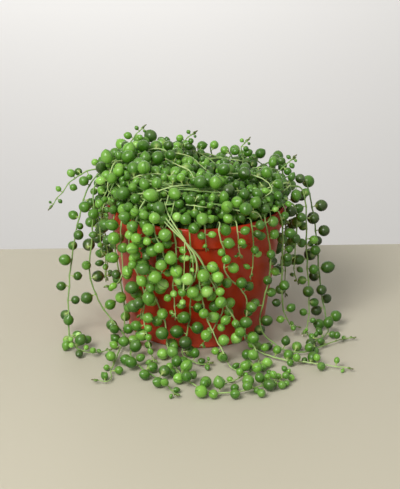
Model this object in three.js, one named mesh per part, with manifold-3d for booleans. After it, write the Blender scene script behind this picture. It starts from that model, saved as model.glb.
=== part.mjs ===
// A string-of-pearls plant in a plastic nursery pot. Millimetres, +Z up; the origin is the middle of the pot's
// underside, on the surface that it stands on, and -Y is the side that faces the viewer.
import * as THREE from "three";
import { mergeVertices } from "three/addons/utils/BufferGeometryUtils.js";
import Module from "manifold-3d";

const wasm = await Module();
wasm.setup();

// Driving dimensions of the pot
const POT_HEIGHT = 88;
const RIM_RADIUS = 60;
const BASE_RADIUS = 45.5;
const BAND_HEIGHT = 14.5; // the collar below the rim
const COLLAR_RADIUS = 58.4; // the collar's foot
const BODY_TOP_RADIUS = 56.3; // outside, just under the collar
const WALL = 1.8;
const FLOOR = 2.6;
const POT_SIDES = 34;
const LIP = 0.6; // how much the rim's edges are rounded off
const FOOT = { height: 3.2, proud: 0.7, chamfer: 1.2 }; // the low ring round the bottom
const STANDING_RING = { inner: 39.5, outer: 45 }; // radii of the flat ring that the pot stands on
const UNDERSIDE = { recess: 1.2, draft: 1, boss: 13 }; // the boss in the middle is flat, and as low as the ring
const DRAIN = { count: 6, radius: 3.6, circle: 25, sides: 8 };

// Soil and crown
const CLEARANCE = 0.35; // between pieces that touch
const SOIL_TOP = POT_HEIGHT - 8;
const SOIL_SIDES = 24;
const SOIL_SLACK = 0.25; // keeps the soil's flat sides clear of the pot's
const SOIL_EDGE = 1.2; // the rounding of its top edge
const CROWN = {
  waist: 97, // height of the widest part
  radius: 54.5,
  sideways: 2.5, // how much wider it is at the left and the right
  neck: 47.5, // radius where it meets the soil
  dome: 5, // height of the core above the waist
  hump: 20, // how much higher it is on the left
  humpAngle: 158,
  squareness: 0.65, // 1 for a round dome, and less for one with a flatter top and steeper sides
  tilts: [6, 18, 32, 48, 66, 84, 98, 110, 122], // degrees from the top, at which the core has its rings
  sides: 16,
};
// The pearls that cover the crown, in rings and larger than life
const COVER = {
  // tilt of each ring, number of its pearls and their radius
  rings: [[0, 1, 8.3], [7.5, 6, 8.3], [21, 11, 8.3], [39, 16, 8], [61, 21, 7.6], [85, 25, 6], [101, 22, 4.6]],
  unevenness: 0.08, // by what share a pearl is larger or smaller than its ring says
  stray: 0.16, // of a pearl along its ring, against the distance to the next
  tiltStray: 0.8, // of a pearl across its ring, in degrees
  bedding: 0.6, // height of a pearl's middle above the core, against its radius
  hold: 2.5, // depth in the core to which a pearl is drawn out
  packing: 0.8, // least distance between two pearls against the sum of their radii
  tries: 40, // for each pearl where a strand is in its way, each further off and smaller than the last
  spread: 4, // how much more it strays by the last try
  shrink: 0.4, // how much smaller it is by then
};

// Strands
const STEM_RADIUS = 0.8;
const STEM_STRAIGHTNESS = 0.6; // how far a straight piece of stem may lie from the true curve
const SLIVER = 0.15; // edges shorter than this are merged away
const PEARL_RADIUS = 3.6;
const UNEVENNESS = 0.15; // by what share a pearl is larger or smaller than that
const GAP_UNEVENNESS = 0.2;
const SPACING = { seen: 11, back: 19, sprig: 7 }; // least distance along a stem between pearls of the solid
const SMALL_PEARL = 2.6; // radius below which a pearl has eight faces instead of twenty
const SAME_CORNER = 0.01; // faces whose corners are closer than this share them
const PETIOLE = 0.9; // gap between a stem's side and its pearl
const PEARL_CLEARANCE = 0.8; // between a pearl and the stems and pearls of other strands
const PEARL_OVERLAP = 0.12; // how far pearls of one strand may press together, against their radii
const FIRST_PEARL = 11; // distance along the stem from its root
const TAPER_LENGTH = 24; // the pearls shrink over this length of stem towards the tip
const TIP_SHARE = 0.4; // size of the last pearl against a full one
const ROOT_RADIUS = 52.6; // where the stems stand in the soil
const ROOT_DEPTH = 4;
const HOLE_RADIUS = 1.9;
const STEM_STEP = 2; // a stem is kept clear of as a row of balls this far apart
const PEARL_TURN = 144; // degrees round the stem from one pearl to the next
const PEARL_STRAY = 30; // by how many degrees that may be out
const TRIES = 8; // directions tried round the stem for each pearl

const COLOURS = {
  pot: 0xb2331d,
  soil: 0x2e2119,
  pearl: 0x4c8a34,
};

const radians = (degrees) => (degrees * Math.PI) / 180;
const polar = ([angle, radius, height]) =>
  new THREE.Vector3(radius * Math.cos(radians(angle)), radius * Math.sin(radians(angle)), height);
const across = (p) => Math.hypot(p.x, p.y);
const angleOf = (p) => THREE.MathUtils.radToDeg(Math.atan2(p.y, p.x));

// A repeatable stream of numbers from 0 to 1
function draws(seed) {
  let state = seed;
  return () => {
    state = (state + 0x6d2b79f5) | 0;
    let mixed = Math.imul(state ^ (state >>> 15), 1 | state);
    mixed = (mixed + Math.imul(mixed ^ (mixed >>> 7), 61 | mixed)) ^ mixed;
    return ((mixed ^ (mixed >>> 14)) >>> 0) / 4294967296;
  };
}

// Strands that the viewer sees. root is the angle at which a strand stands in the soil, or in the crown where it has
// a tilt too. Then come the points that it passes, as angle in degrees (0 to the right, -90 to the front), radius and
// height. gap is the distance between its pearls at its start and at its end, and size scales them.
const SEEN = [
  { name: "strand_left_outer", root: 172, tilt: 82, gap: [12, 5.5], size: 1.03,
    via: [[176, 71, 96], [-178, 75, 86], [-174, 80, 68], [-170, 85, 42], [-162, 89, 20], [-150, 94, 6], [-142, 92, 3],
      [-138, 84, 2.6], [-137, 77, 2.6]] },
  { name: "strand_left_long", root: 176, tilt: 42, gap: [13, 6], size: 1.12,
    via: [[178, 53, 114], [-176, 62, 107], [-171, 68, 97], [-167, 69, 86], [-165, 71, 66], [-162, 74, 46],
      [-158, 71, 29], [-152, 65, 16], [-140, 63, 8.5], [-130, 67, 5], [-123, 77, 3], [-111, 91, 2.8],
      [-102, 102, 2.6], [-96, 120, 2.6]] },
  { name: "strand_left_short", root: -163, gap: [6, 8], size: 1,
    via: [[-161, 65, 86], [-160, 67, 72], [-159, 66, 58]] },
  { name: "strand_left_front", root: -147, gap: [8, 9], size: 1,
    via: [[-146, 64, 87], [-147, 63, 70], [-149, 59, 46], [-148, 56, 24], [-147, 57, 8], [-142, 61, 3.2],
      [-134.5, 71, 2.6], [-129, 82, 2.6], [-123, 99, 2.6], [-119, 113, 2.6], [-123, 117, 2.8]] },
  { name: "strand_front_left_tip", root: -139, gap: [6.5, 8], size: 1.15,
    via: [[-138.5, 64, 87], [-138, 65, 68], [-138, 64, 52], [-143, 65.5, 43], [-148, 69, 40]] },
  { name: "strand_front_left_1", root: -131, gap: [6.5, 9], size: 1.3,
    via: [[-131, 64, 87], [-134, 62, 74], [-135, 60.5, 67], [-133, 59, 57], [-129, 57.6, 48], [-127, 56.5, 39],
      [-129, 56, 30], [-131, 56, 20]] },
  { name: "strand_front_left_2", root: -124, tilt: 80, gap: [6.5, 8], size: 1.15,
    via: [[-125, 66, 92], [-126, 65, 84], [-126, 63.6, 75], [-126, 60.7, 62], [-122, 59, 52], [-120, 58, 44],
      [-116, 58, 36], [-111, 57, 22], [-108, 61, 9], [-105, 64, 3.4], [-99, 82.5, 2.8], [-93, 99, 2.6],
      [-86, 114.5, 2.6], [-79, 117.5, 2.6], [-70, 113.5, 2.6], [-62, 110, 2.6], [-57, 106, 2.6]] },
  { name: "strand_front_left_3", root: -113, tilt: 72, gap: [6, 6.5], size: 1.2,
    via: [[-114, 67, 98], [-112, 69.5, 88], [-108, 69.5, 77], [-107, 68, 67], [-113, 66, 55], [-120, 64.5, 46],
      [-123, 62.5, 34], [-124, 61, 21], [-120, 63, 11], [-116, 67, 4.5], [-111, 77, 3]] },
  { name: "strand_front_left_4", root: -104, gap: [6.5, 8.5], size: 1.15,
    via: [[-103, 62.5, 87], [-102, 62.5, 76], [-102, 61.5, 66], [-104, 60.5, 54], [-104.5, 59, 45], [-104, 58, 36],
      [-104, 57, 26]] },
  { name: "strand_front_dark", root: -94, gap: [8, 5.5], size: 1.15,
    via: [[-94, 62.5, 86], [-93.5, 61, 75], [-94, 58.5, 65], [-94, 56.5, 52], [-94, 55.5, 37], [-95, 55.5, 23],
      [-97.5, 58, 11], [-98, 64, 4.2], [-92, 71, 3], [-87, 76, 2.8], [-83, 73, 2.8]] },
  { name: "strand_front_short", root: -85, gap: [7, 7], size: 1,
    via: [[-85, 63, 87], [-84.5, 62, 76]] },
  { name: "strand_front_right", root: -76, gap: [10, 7.5], size: 0.98,
    via: [[-77, 63, 87], [-73, 61, 71], [-72.5, 59.5, 60], [-69, 58, 53], [-62, 57.5, 46], [-56, 57, 37],
      [-55, 57, 28], [-57, 57.5, 17], [-58, 60.5, 9], [-56, 68, 4.5], [-53, 78, 2.8], [-50, 90, 2.6],
      [-46, 99, 2.6], [-43, 111, 2.6], [-40, 127, 2.6]] },
  { name: "strand_front_right_short", root: -66, gap: [7, 7], size: 1,
    via: [[-66, 63.5, 87], [-65, 63, 76], [-64, 62.5, 69]] },
  { name: "strand_right_front", root: -56, gap: [9, 7], size: 0.98,
    via: [[-56, 63, 87], [-54, 61.5, 74], [-53, 60, 64], [-56, 62, 53]] },
  { name: "strand_right_floor", root: -45, gap: [10, 9], size: 1,
    via: [[-46, 63.5, 86], [-41, 63, 64], [-40, 61, 46], [-43, 59.5, 32], [-46, 59.5, 20], [-46, 62, 11],
      [-44.5, 70, 5.5], [-43, 79, 3], [-40, 88.5, 2.6], [-30, 94, 2.6], [-21, 102, 2.6], [-18, 109, 2.6]] },
  { name: "strand_right_edge", root: -32, gap: [8, 6.5], size: 0.98,
    via: [[-32, 64, 87], [-29, 64, 66], [-28, 63, 42], [-27, 64, 22], [-22, 67, 8], [-14, 70, 3]] },
  { name: "strand_right_short", root: -15, gap: [6, 9], size: 1,
    via: [[-13, 66, 87], [-11, 67, 68], [-10, 66, 52], [-8, 66, 38], [-6, 68, 31]] },
  { name: "strand_right_inner", root: -6, tilt: 84, gap: [8, 7], size: 1.02,
    via: [[-5, 69, 97], [-4, 72, 85], [-3, 73, 66], [-4, 74, 44], [-8, 76, 22], [-15, 77, 8], [-22, 77, 3]] },
  { name: "strand_right_outer", root: 8, tilt: 78, gap: [9, 6], size: 1.15,
    via: [[8, 72, 98], [6, 76, 86], [3, 79, 70], [1, 81, 50], [0, 83, 30], [-3, 86, 12], [-9, 89, 4],
      [-19, 91, 3], [-28, 86, 2.8]] },
];

// The bundle of bare stems that leaves the crown together at the front, then fans out down the pot
const BUNDLE = {
  name: "spray_front",
  root: -113,
  tilt: 50,
  neck: [[-110, 56, 107], [-106, 63.5, 101], [-101, 68.5, 92], [-96, 70, 84]],
  fans: [
    { gap: [8, 8], size: 1.05, bare: 8, via: [[-93.5, 69, 77], [-92, 67.5, 69], [-92, 66, 61]] },
    { gap: [8, 8], size: 1.35, bare: 26, via: [[-91, 70.5, 75], [-90, 69.5, 65], [-93, 67, 54], [-98, 64, 46],
      [-98, 62, 38]] },
    { gap: [8.5, 6], size: 1.1, bare: 24, via: [[-89, 68.5, 73], [-84, 66, 61], [-78, 64.5, 46], [-72, 64.5, 35],
      [-65, 66, 21], [-60, 71, 11], [-60, 79, 3.4], [-65, 89, 2.8], [-72, 95.5, 2.6], [-78, 102.5, 2.6],
      [-83, 103.5, 2.6]] },
    { gap: [9, 6.5], size: 1.1, bare: 20, via: [[-91, 68.5, 74], [-89, 66, 62], [-88, 64, 50], [-86, 63, 37],
      [-82, 65, 23], [-77, 71, 10], [-75, 82, 3.2], [-73, 90, 2.8]] },
    { gap: [7.5, 7.5], size: 1, bare: 22, via: [[-89, 66, 73], [-84, 62.5, 61], [-79, 60, 52], [-75, 58, 42],
      [-73, 57.5, 31], [-76, 57, 24], [-81, 57.5, 16], [-87, 59.5, 8.5]] },
  ],
};

// Strands round the back, from the right of the pot to the left, by rule. Angles are in degrees.
const BACK = {
  count: 11,
  from: 23,
  to: 161,
  seed: 41,
  stray: 0.3, // of a root from its place, against the distance between two
  hang: 64.5, // radius at which a strand that is rooted in the soil hangs
  highHang: 74, // and one that is rooted in the crown
  loose: 4, // how much further out some hang
  sway: 7,
  bend: 8,
  run: { least: 6, spread: 24 }, // length that lies behind the pot, or by which one at the side ends higher
  farBack: 53, // from this angle to its mirror image the strands reach the surface behind the pot
  landing: 15, // how far out from their hanging radius they touch it
  sideEnd: 34, // height at which the others end
  gap: { least: 8, spread: 3, tip: 7.5 },
  size: { least: 1, spread: 0.15 },
};

// Short tips that stand out of the crown, by the points they pass
const SPRIGS = [
  [[160, 48, 98], [163, 66, 103], [170, 82, 98], [174, 91, 88], [176, 98, 79]],
  [[155, 46, 100], [155, 49, 118], [153, 45, 126], [148, 41, 131]],
  [[112, 28, 100], [110, 29, 114], [104, 26, 122], [92, 25, 126]],
  [[42, 38, 93], [40, 41, 107], [38, 38, 116], [36, 43, 121]],
  [[16, 50, 93], [15, 58, 103], [13, 67, 112]],
];
const SPRIG_RULE = { gap: [6, 5], size: 0.8, bare: 14, owner: "crown" };

// Closed outline of the pot's section, from the middle of its underside outwards and back inside
function potOutline() {
  const shoulder = POT_HEIGHT - BAND_HEIGHT;
  return [
    [0, 0],
    [UNDERSIDE.boss, 0],
    [UNDERSIDE.boss + UNDERSIDE.draft, UNDERSIDE.recess],
    [STANDING_RING.inner - UNDERSIDE.draft, UNDERSIDE.recess],
    [STANDING_RING.inner, 0],
    [STANDING_RING.outer, 0],
    [BASE_RADIUS + FOOT.proud, FOOT.chamfer],
    [BASE_RADIUS + FOOT.proud / 2, FOOT.height],
    [BODY_TOP_RADIUS, shoulder],
    [COLLAR_RADIUS, shoulder + LIP],
    [RIM_RADIUS, POT_HEIGHT - 2 * LIP],
    [RIM_RADIUS - LIP, POT_HEIGHT],
    [RIM_RADIUS - LIP - WALL, POT_HEIGHT],
    [COLLAR_RADIUS - WALL, shoulder + LIP + WALL / 2],
    [BODY_TOP_RADIUS - WALL, shoulder],
    [BASE_RADIUS - WALL, FLOOR],
    [0, FLOOR],
  ];
}

function latheOf(outline, sides) {
  return new THREE.LatheGeometry(outline.map(([r, z]) => new THREE.Vector2(r, z)), sides).rotateX(Math.PI / 2);
}

// A geometry as a manifold-3d solid with its faces outwards
function solidOf(geometry) {
  const bare = new THREE.BufferGeometry().setAttribute("position", geometry.getAttribute("position"));
  bare.setIndex(geometry.index);
  const merged = mergeVertices(bare, 1e-3);
  const kept = [];
  for (let i = 0; i < merged.index.count; i += 3) {
    const [a, b, c] = merged.index.array.slice(i, i + 3);
    if (a !== b && b !== c && a !== c) kept.push(a, b, c);
  }
  const build = (triangles) =>
    new wasm.Manifold(
      new wasm.Mesh({
        numProp: 3,
        vertProperties: new Float32Array(merged.attributes.position.array),
        triVerts: new Uint32Array(triangles),
      }),
    );
  const made = build(kept);
  return made.volume() > 0 ? made : build(kept.reverse());
}

function geometryOf(solid) {
  const mesh = solid.getMesh();
  const geometry = new THREE.BufferGeometry();
  geometry.setAttribute("position", new THREE.BufferAttribute(mesh.vertProperties, 3));
  geometry.setIndex(new THREE.BufferAttribute(mesh.triVerts, 1));
  geometry.computeVertexNormals();
  return geometry;
}

// A closed solid through rings of points, each ring with the same number of them
function skinned(rings) {
  const sides = rings[0].length;
  const last = (rings.length - 1) * sides;
  const corners = [];
  for (let i = 2; i < sides; i++) corners.push(0, i - 1, i, last, last + i, last + i - 1);
  for (let ring = 0; ring < last; ring += sides)
    for (let i = 0; i < sides; i++) {
      const next = (i + 1) % sides;
      corners.push(ring + i, ring + sides + i, ring + next);
      corners.push(ring + next, ring + sides + i, ring + sides + next);
    }
  const geometry = new THREE.BufferGeometry().setFromPoints(rings.flat());
  return solidOf(geometry.setIndex(corners));
}

// Section of the crown's core: radius and height at an angle round the pot and a tilt from the top, both in degrees
const crownRadius = (angle) => CROWN.radius + CROWN.sideways * Math.cos(radians(2 * angle));
function crownPoint(angle, tilt) {
  if (tilt > 90) {
    const down = (tilt - 90) / (CROWN.tilts.at(-1) - 90);
    const r = CROWN.neck + (crownRadius(angle) - CROWN.neck) * (1 - down);
    return [r, CROWN.waist - (CROWN.waist - SOIL_TOP - CLEARANCE) * down];
  }
  const swell = Math.sin(radians(tilt)) ** CROWN.squareness;
  const dome = CROWN.dome + CROWN.hump * swell * (0.5 + 0.5 * Math.cos(radians(angle - CROWN.humpAngle)));
  return [crownRadius(angle) * swell, CROWN.waist + dome * Math.cos(radians(tilt)) ** CROWN.squareness];
}
// A point off the core's surface
function overCrown(angle, tilt, distance) {
  const [r, z] = crownPoint(angle, tilt);
  return [angle, r + distance * Math.sin(radians(tilt)), z + distance * Math.cos(radians(tilt))];
}

const potSection = potOutline();
const soilSection = [
  [0, SOIL_TOP],
  [BODY_TOP_RADIUS, SOIL_TOP],
];

// Shortest distance from a point to a section outline
function distanceTo(outline, p) {
  const r = across(p);
  let best = Infinity;
  for (let i = 1; i < outline.length; i++) {
    const [ar, az] = outline[i - 1];
    const [br, bz] = outline[i];
    const along = ((r - ar) * (br - ar) + (p.z - az) * (bz - az)) / ((br - ar) ** 2 + (bz - az) ** 2);
    const t = Math.min(1, Math.max(0, along));
    best = Math.min(best, Math.hypot(r - ar - t * (br - ar), p.z - az - t * (bz - az)));
  }
  return best;
}

// True if a ball there is clear of the pot, the soil, the floor and the crown's core
function clearOfPot(p, radius) {
  const crownSection = CROWN.tilts.map((tilt) => crownPoint(angleOf(p), tilt));
  const sections = [potSection, soilSection, crownSection];
  return p.z >= radius && sections.every((section) => distanceTo(section, p) > radius + CLEARANCE);
}

// True if a ball there is clear of the stems and pearls laid out so far; those of its own strand may touch it
function clearOfAll(p, radius, owner, taken) {
  return taken.every((ball) => {
    const gap = ball.owner === owner ? -PEARL_OVERLAP * (radius + ball.radius) : PEARL_CLEARANCE;
    return ball.centre.distanceTo(p) > radius + ball.radius + gap;
  });
}

// A stem stands in the soil inside the rim and crosses it, or leaves the side of the crown
function rootPoints({ root, tilt }) {
  if (tilt !== undefined) return [-ROOT_DEPTH, 3, 6].map((distance) => overCrown(root, tilt, distance));
  return [
    [root, ROOT_RADIUS, SOIL_TOP - ROOT_DEPTH],
    [root, ROOT_RADIUS, SOIL_TOP + 3],
    [root, ROOT_RADIUS + 3, POT_HEIGHT + 2.6],
    [root, RIM_RADIUS + 0.3, POT_HEIGHT + 3.8],
  ];
}

// A smooth path through points, as a close row of them
const pathThrough = (points) => new THREE.CatmullRomCurve3(points.map(polar)).getPoints(8 * points.length);

// The row's points with the distance of each from the start
function measured(path) {
  let s = 0;
  return path.map((point, i) => {
    if (i > 0) s += point.distanceTo(path[i - 1]);
    return { point, s };
  });
}

// Point and direction at a distance along a measured path
function placeAt(marks, s) {
  const i = Math.max(1, marks.findIndex((mark) => mark.s >= s));
  const [before, after] = [marks[i - 1], marks[i]];
  const point = before.point.clone().lerp(after.point, (s - before.s) / (after.s - before.s));
  return { point, along: after.point.clone().sub(before.point).normalize() };
}

// Pearls along a stem: each tries directions round the stem, and is left out where none is clear
function pearlsAlong({ path, gap, size, bare = FIRST_PEARL, owner }, draw, taken) {
  const marks = measured(path);
  const length = marks.at(-1).s;
  const pearls = [];
  let s = bare + 0.6 * gap[0] * draw();
  for (let index = 0; s < length; index++) {
    const taper = TIP_SHARE + (1 - TIP_SHARE) * Math.min(1, (length - s) / TAPER_LENGTH);
    const radius = PEARL_RADIUS * size * taper * (1 + UNEVENNESS * (2 * draw() - 1));
    const turn = index * PEARL_TURN + PEARL_STRAY * (2 * draw() - 1);
    const { point, along } = placeAt(marks, s);
    const outward = new THREE.Vector3(point.x, point.y, 0).normalize();
    const side = new THREE.Vector3().crossVectors(along, outward).normalize();
    const front = new THREE.Vector3().crossVectors(side, along).normalize();
    const reach = radius + STEM_RADIUS + PETIOLE * taper;
    for (let i = 0; i < TRIES; i++) {
      const swing = (i % 2 ? -1 : 1) * Math.ceil(i / 2) * (360 / TRIES);
      const angle = radians(turn + swing);
      const way = side.clone().multiplyScalar(Math.cos(angle)).addScaledVector(front, Math.sin(angle));
      const centre = point.clone().addScaledVector(way, reach);
      if (centre.z < radius + 1.5) centre.z = radius;
      if (clearOfPot(centre, radius) && clearOfAll(centre, radius, owner, taken)) {
        const pearl = { centre, radius, owner, s };
        pearls.push(pearl);
        taken.push(pearl);
        break;
      }
    }
    const share = Math.min(1, s / length);
    const usual = gap[0] + (gap[1] - gap[0]) * share;
    s += usual * (1 + GAP_UNEVENNESS * (2 * draw() - 1)) * (0.5 + 0.5 * taper);
  }
  return pearls;
}

// A strand of the back, by its number
function backStrand(index, draw) {
  const pitch = (BACK.to - BACK.from) / (BACK.count - 1);
  const root = BACK.from + pitch * (index + BACK.stray * (draw() - 0.5));
  const high = index % 2 === 1;
  const hang = (high ? BACK.highHang : BACK.hang) + BACK.loose * draw();
  const sway = BACK.sway * (draw() - 0.5);
  const lean = root - sway / 2;
  const bend = lean + BACK.bend * (draw() - 0.5);
  const run = BACK.run.least + BACK.run.spread * draw();
  const start = high ? [[root, BACK.highHang - 3, 97], [root, hang, 86]] : [[root, hang, 87]];
  const via = [...start, [root + sway, hang + 1, 66], [lean, hang, 42]];
  if (Math.abs(root - 90) < 90 - BACK.farBack) {
    const landing = hang + BACK.landing;
    via.push([lean, hang + 1, 18], [lean, (hang + landing) / 2, 5], [(lean + bend) / 2, landing, 2.8]);
    via.push([bend, landing + run, 2.6]);
  } else via.push([bend, hang + 1, BACK.sideEnd - run]);
  const sort = high ? { tilt: 80 } : {};
  const gap = [BACK.gap.least + BACK.gap.spread * draw(), BACK.gap.tip];
  const size = BACK.size.least + BACK.size.spread * draw();
  return { name: `strand_back_${index + 1}`, root, ...sort, gap, size, spacing: SPACING.back, via };
}

// Lays out every strand: the paths of its stems, those of them that bear pearls, and the pearls
function layOut() {
  const draw = draws(7);
  const backDraw = draws(BACK.seed);
  const single = (strand) => {
    const path = pathThrough([...rootPoints(strand), ...strand.via]);
    return { ...strand, stems: [path], bearing: [{ ...strand, path }] };
  };
  const strands = SEEN.map(single);
  for (let i = 0; i < BACK.count; i++) strands.push(single(backStrand(i, backDraw)));
  const neck = pathThrough([...rootPoints(BUNDLE), ...BUNDLE.neck]);
  const fans = BUNDLE.fans.map((fan) => ({ ...fan, path: pathThrough([BUNDLE.neck.at(-1), ...fan.via]) }));
  strands.push({ ...BUNDLE, stems: [neck, ...fans.map(({ path }) => path)], bearing: fans });
  const taken = [];
  const lay = (path, owner) => {
    const marks = measured(path);
    for (let s = 0; s < marks.at(-1).s; s += STEM_STEP)
      taken.push({ centre: placeAt(marks, s).point, radius: STEM_RADIUS, owner });
  };
  for (const { name, stems } of strands) for (const stem of stems) lay(stem, name);
  const sprigs = SPRIGS.map(pathThrough);
  for (const sprig of sprigs) lay(sprig, "crown");
  for (const strand of strands)
    strand.pearls = strand.bearing.flatMap((stem) => pearlsAlong({ ...stem, owner: strand.name }, draw, taken));
  const pearls = sprigs.flatMap((path) => pearlsAlong({ ...SPRIG_RULE, path }, draw, taken));
  return { strands, sprigs: { stems: sprigs, pearls, spacing: SPACING.sprig }, taken };
}

// A path's points without those that a straight line nearly passes (Douglas-Peucker)
function straightened(path) {
  const [first, last] = [path[0], path.at(-1)];
  const line = new THREE.Line3(first, last);
  const far = path.map((p) => line.closestPointToPoint(p, true, new THREE.Vector3()).distanceTo(p));
  const worst = far.indexOf(Math.max(...far));
  if (far[worst] < STEM_STRAIGHTNESS) return [first, last];
  return [...straightened(path.slice(0, worst + 1)), ...straightened(path.slice(worst)).slice(1)];
}

// A three-sided stem through corners
function stemSolid(corners) {
  let normal = new THREE.Vector3(0, 0, 1);
  const rings = corners.map((corner, i) => {
    const before = corners[Math.max(0, i - 1)];
    const after = corners[Math.min(corners.length - 1, i + 1)];
    const along = after.clone().sub(before).normalize();
    if (Math.abs(normal.dot(along)) > 0.98) normal = new THREE.Vector3(0.6, 0.8, 0);
    normal = normal.clone().addScaledVector(along, -normal.dot(along)).normalize();
    return [0, 120, 240].map((turn) =>
      corner.clone().addScaledVector(normal.clone().applyAxisAngle(along, radians(turn)), STEM_RADIUS),
    );
  });
  return skinned(rings);
}

// A ball turned by spin, in radians, with one corner drawn out to hold as a stalk
function pearlSolid(centre, radius, spin, hold) {
  const Ball = radius < SMALL_PEARL ? THREE.OctahedronGeometry : THREE.IcosahedronGeometry;
  const ball = new Ball(radius, 0);
  const position = ball.getAttribute("position");
  ball.setIndex([...Array(position.count).keys()]);
  const corner = new THREE.Vector3().fromBufferAttribute(position, 0);
  const way = hold.clone().sub(centre);
  const place = new THREE.Matrix4().makeRotationAxis(corner.clone().normalize(), spin);
  const turn = new THREE.Quaternion().setFromUnitVectors(corner.clone().normalize(), way.clone().normalize());
  place.premultiply(new THREE.Matrix4().makeRotationFromQuaternion(turn)).setPosition(centre);
  for (let i = 0; i < position.count; i++) {
    const p = new THREE.Vector3().fromBufferAttribute(position, i);
    if (p.distanceTo(corner) < SAME_CORNER) position.setXYZ(i, ...p.setLength(way.length()).toArray());
  }
  return solidOf(ball.applyMatrix4(place));
}

function nearestOn(lines, p) {
  const spots = lines.map((line) => line.closestPointToPoint(p, true, new THREE.Vector3()));
  return spots.reduce((best, spot) => (spot.distanceTo(p) < best.distanceTo(p) ? spot : best));
}

// The pearls that are at least a spacing apart along their stem; a smaller distance than the last starts a new stem
function thinned(pearls, spacing) {
  let last = -spacing;
  return pearls.filter(({ s }) => {
    const kept = s < last || s >= last + spacing;
    if (kept) last = s;
    return kept;
  });
}

// Stems and some of the pearls, all one body
function strandSolid({ stems, pearls, spacing = SPACING.seen }) {
  const corners = stems.map(straightened);
  const lines = corners.flatMap((row) => row.slice(1).map((corner, i) => new THREE.Line3(row[i], corner)));
  const solids = corners.map(stemSolid);
  for (const { centre, radius, s } of thinned(pearls, spacing))
    solids.push(pearlSolid(centre, radius, s, nearestOn(lines, centre)));
  return wasm.Manifold.union(solids).simplify(SLIVER);
}

function potSolid() {
  const { count, radius, circle, sides } = DRAIN;
  const holes = Array.from({ length: count }, (_, i) => {
    const hole = new THREE.CylinderGeometry(radius, radius, 4 * FLOOR, sides).rotateX(Math.PI / 2);
    const middle = polar([(360 * i) / count, circle, 0]);
    return solidOf(hole.translate(middle.x, middle.y, 0));
  });
  return solidOf(latheOf(potSection, POT_SIDES)).subtract(wasm.Manifold.union(holes));
}

// The plain hole that a stem stands in
function socket({ stems }) {
  const [start, next] = [stems[0][0], stems[0][3]];
  const way = next.clone().sub(start).normalize();
  const length = ROOT_DEPTH + CLEARANCE + 3;
  const hole = new THREE.CylinderGeometry(HOLE_RADIUS, HOLE_RADIUS, length, 4);
  hole.applyQuaternion(new THREE.Quaternion().setFromUnitVectors(new THREE.Vector3(0, 1, 0), way));
  const middle = start.clone().addScaledVector(way, length / 2 - CLEARANCE);
  return solidOf(hole.translate(middle.x, middle.y, middle.z));
}

function soilSolid(strands) {
  const inset = WALL + CLEARANCE + SOIL_SLACK;
  const outline = [
    [0, FLOOR + CLEARANCE],
    [BASE_RADIUS - inset, FLOOR + CLEARANCE],
    [BODY_TOP_RADIUS - inset, POT_HEIGHT - BAND_HEIGHT],
    [COLLAR_RADIUS - inset, SOIL_TOP - SOIL_EDGE],
    [COLLAR_RADIUS - inset - SOIL_EDGE, SOIL_TOP],
    [0, SOIL_TOP],
  ];
  const sockets = strands.filter(({ tilt }) => tilt === undefined).map(socket);
  return solidOf(latheOf(outline, SOIL_SIDES)).subtract(wasm.Manifold.union(sockets));
}

// A pearl of the crown near its own place, which is an angle and a tilt
function coverPearl(place, tilt, pitch, usual, attempt, draw) {
  const late = attempt / COVER.tries;
  const radius = usual * (1 - COVER.shrink * late) * (1 + COVER.unevenness * (2 * draw() - 1));
  const reach = 1 + COVER.spread * late;
  const angle = place + pitch * COVER.stray * reach * (2 * draw() - 1);
  const down = tilt + COVER.tiltStray * reach * (2 * draw() - 1);
  return {
    radius,
    centre: polar(overCrown(angle, down, radius * COVER.bedding)),
    hold: polar(overCrown(angle, down, -COVER.hold)),
  };
}

// The pearls that cover the crown, clear of the pot and the strands
function coverPearls(taken) {
  const draw = draws(23);
  const pearls = [];
  const fits = ({ centre, radius }) =>
    distanceTo(potSection, centre) > radius + CLEARANCE &&
    clearOfAll(centre, radius, "crown", taken) &&
    pearls.every((other) => other.centre.distanceTo(centre) > COVER.packing * (radius + other.radius));
  for (const [tilt, count, usual] of COVER.rings) {
    const start = 360 * draw();
    for (let i = 0; i < count; i++)
      for (let attempt = 0; attempt < COVER.tries; attempt++) {
        const pearl = coverPearl(start + (360 * i) / count, tilt, 360 / count, usual, attempt, draw);
        if (fits(pearl)) {
          pearls.push(pearl);
          break;
        }
      }
  }
  return pearls;
}

// The crown: a core of matted stems, covered in pearls, with short tips standing out of it
function crownSolid(strands, sprigs, taken) {
  const turns = Array.from({ length: CROWN.sides }, (_, i) => (360 * i) / CROWN.sides);
  const rings = CROWN.tilts.map((tilt) => turns.map((angle) => polar([angle, ...crownPoint(angle, tilt)])));
  const solids = [skinned(rings)];
  const pearls = coverPearls(taken);
  solids.push(...pearls.map(({ centre, radius, hold }, i) => pearlSolid(centre, radius, i, hold)));
  solids.push(strandSolid(sprigs));
  const sockets = strands.filter(({ tilt }) => tilt !== undefined).map(socket);
  return wasm.Manifold.union(solids).subtract(wasm.Manifold.union(sockets)).simplify(SLIVER);
}

function meshOf(name, solid, colour, roughness) {
  const material = new THREE.MeshStandardMaterial({ color: colour, roughness, metalness: 0 });
  const mesh = new THREE.Mesh(geometryOf(solid), material);
  mesh.name = name;
  return mesh;
}

const { strands, sprigs, taken } = layOut();
const plant = new THREE.Group();
plant.add(meshOf("pot", potSolid(), COLOURS.pot, 0.45));
plant.add(meshOf("soil", soilSolid(strands), COLOURS.soil, 0.95));
plant.add(meshOf("crown", crownSolid(strands, sprigs, taken), COLOURS.pearl, 0.4));
for (const strand of strands) plant.add(meshOf(strand.name, strandSolid(strand), COLOURS.pearl, 0.4));

export default plant;
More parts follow.
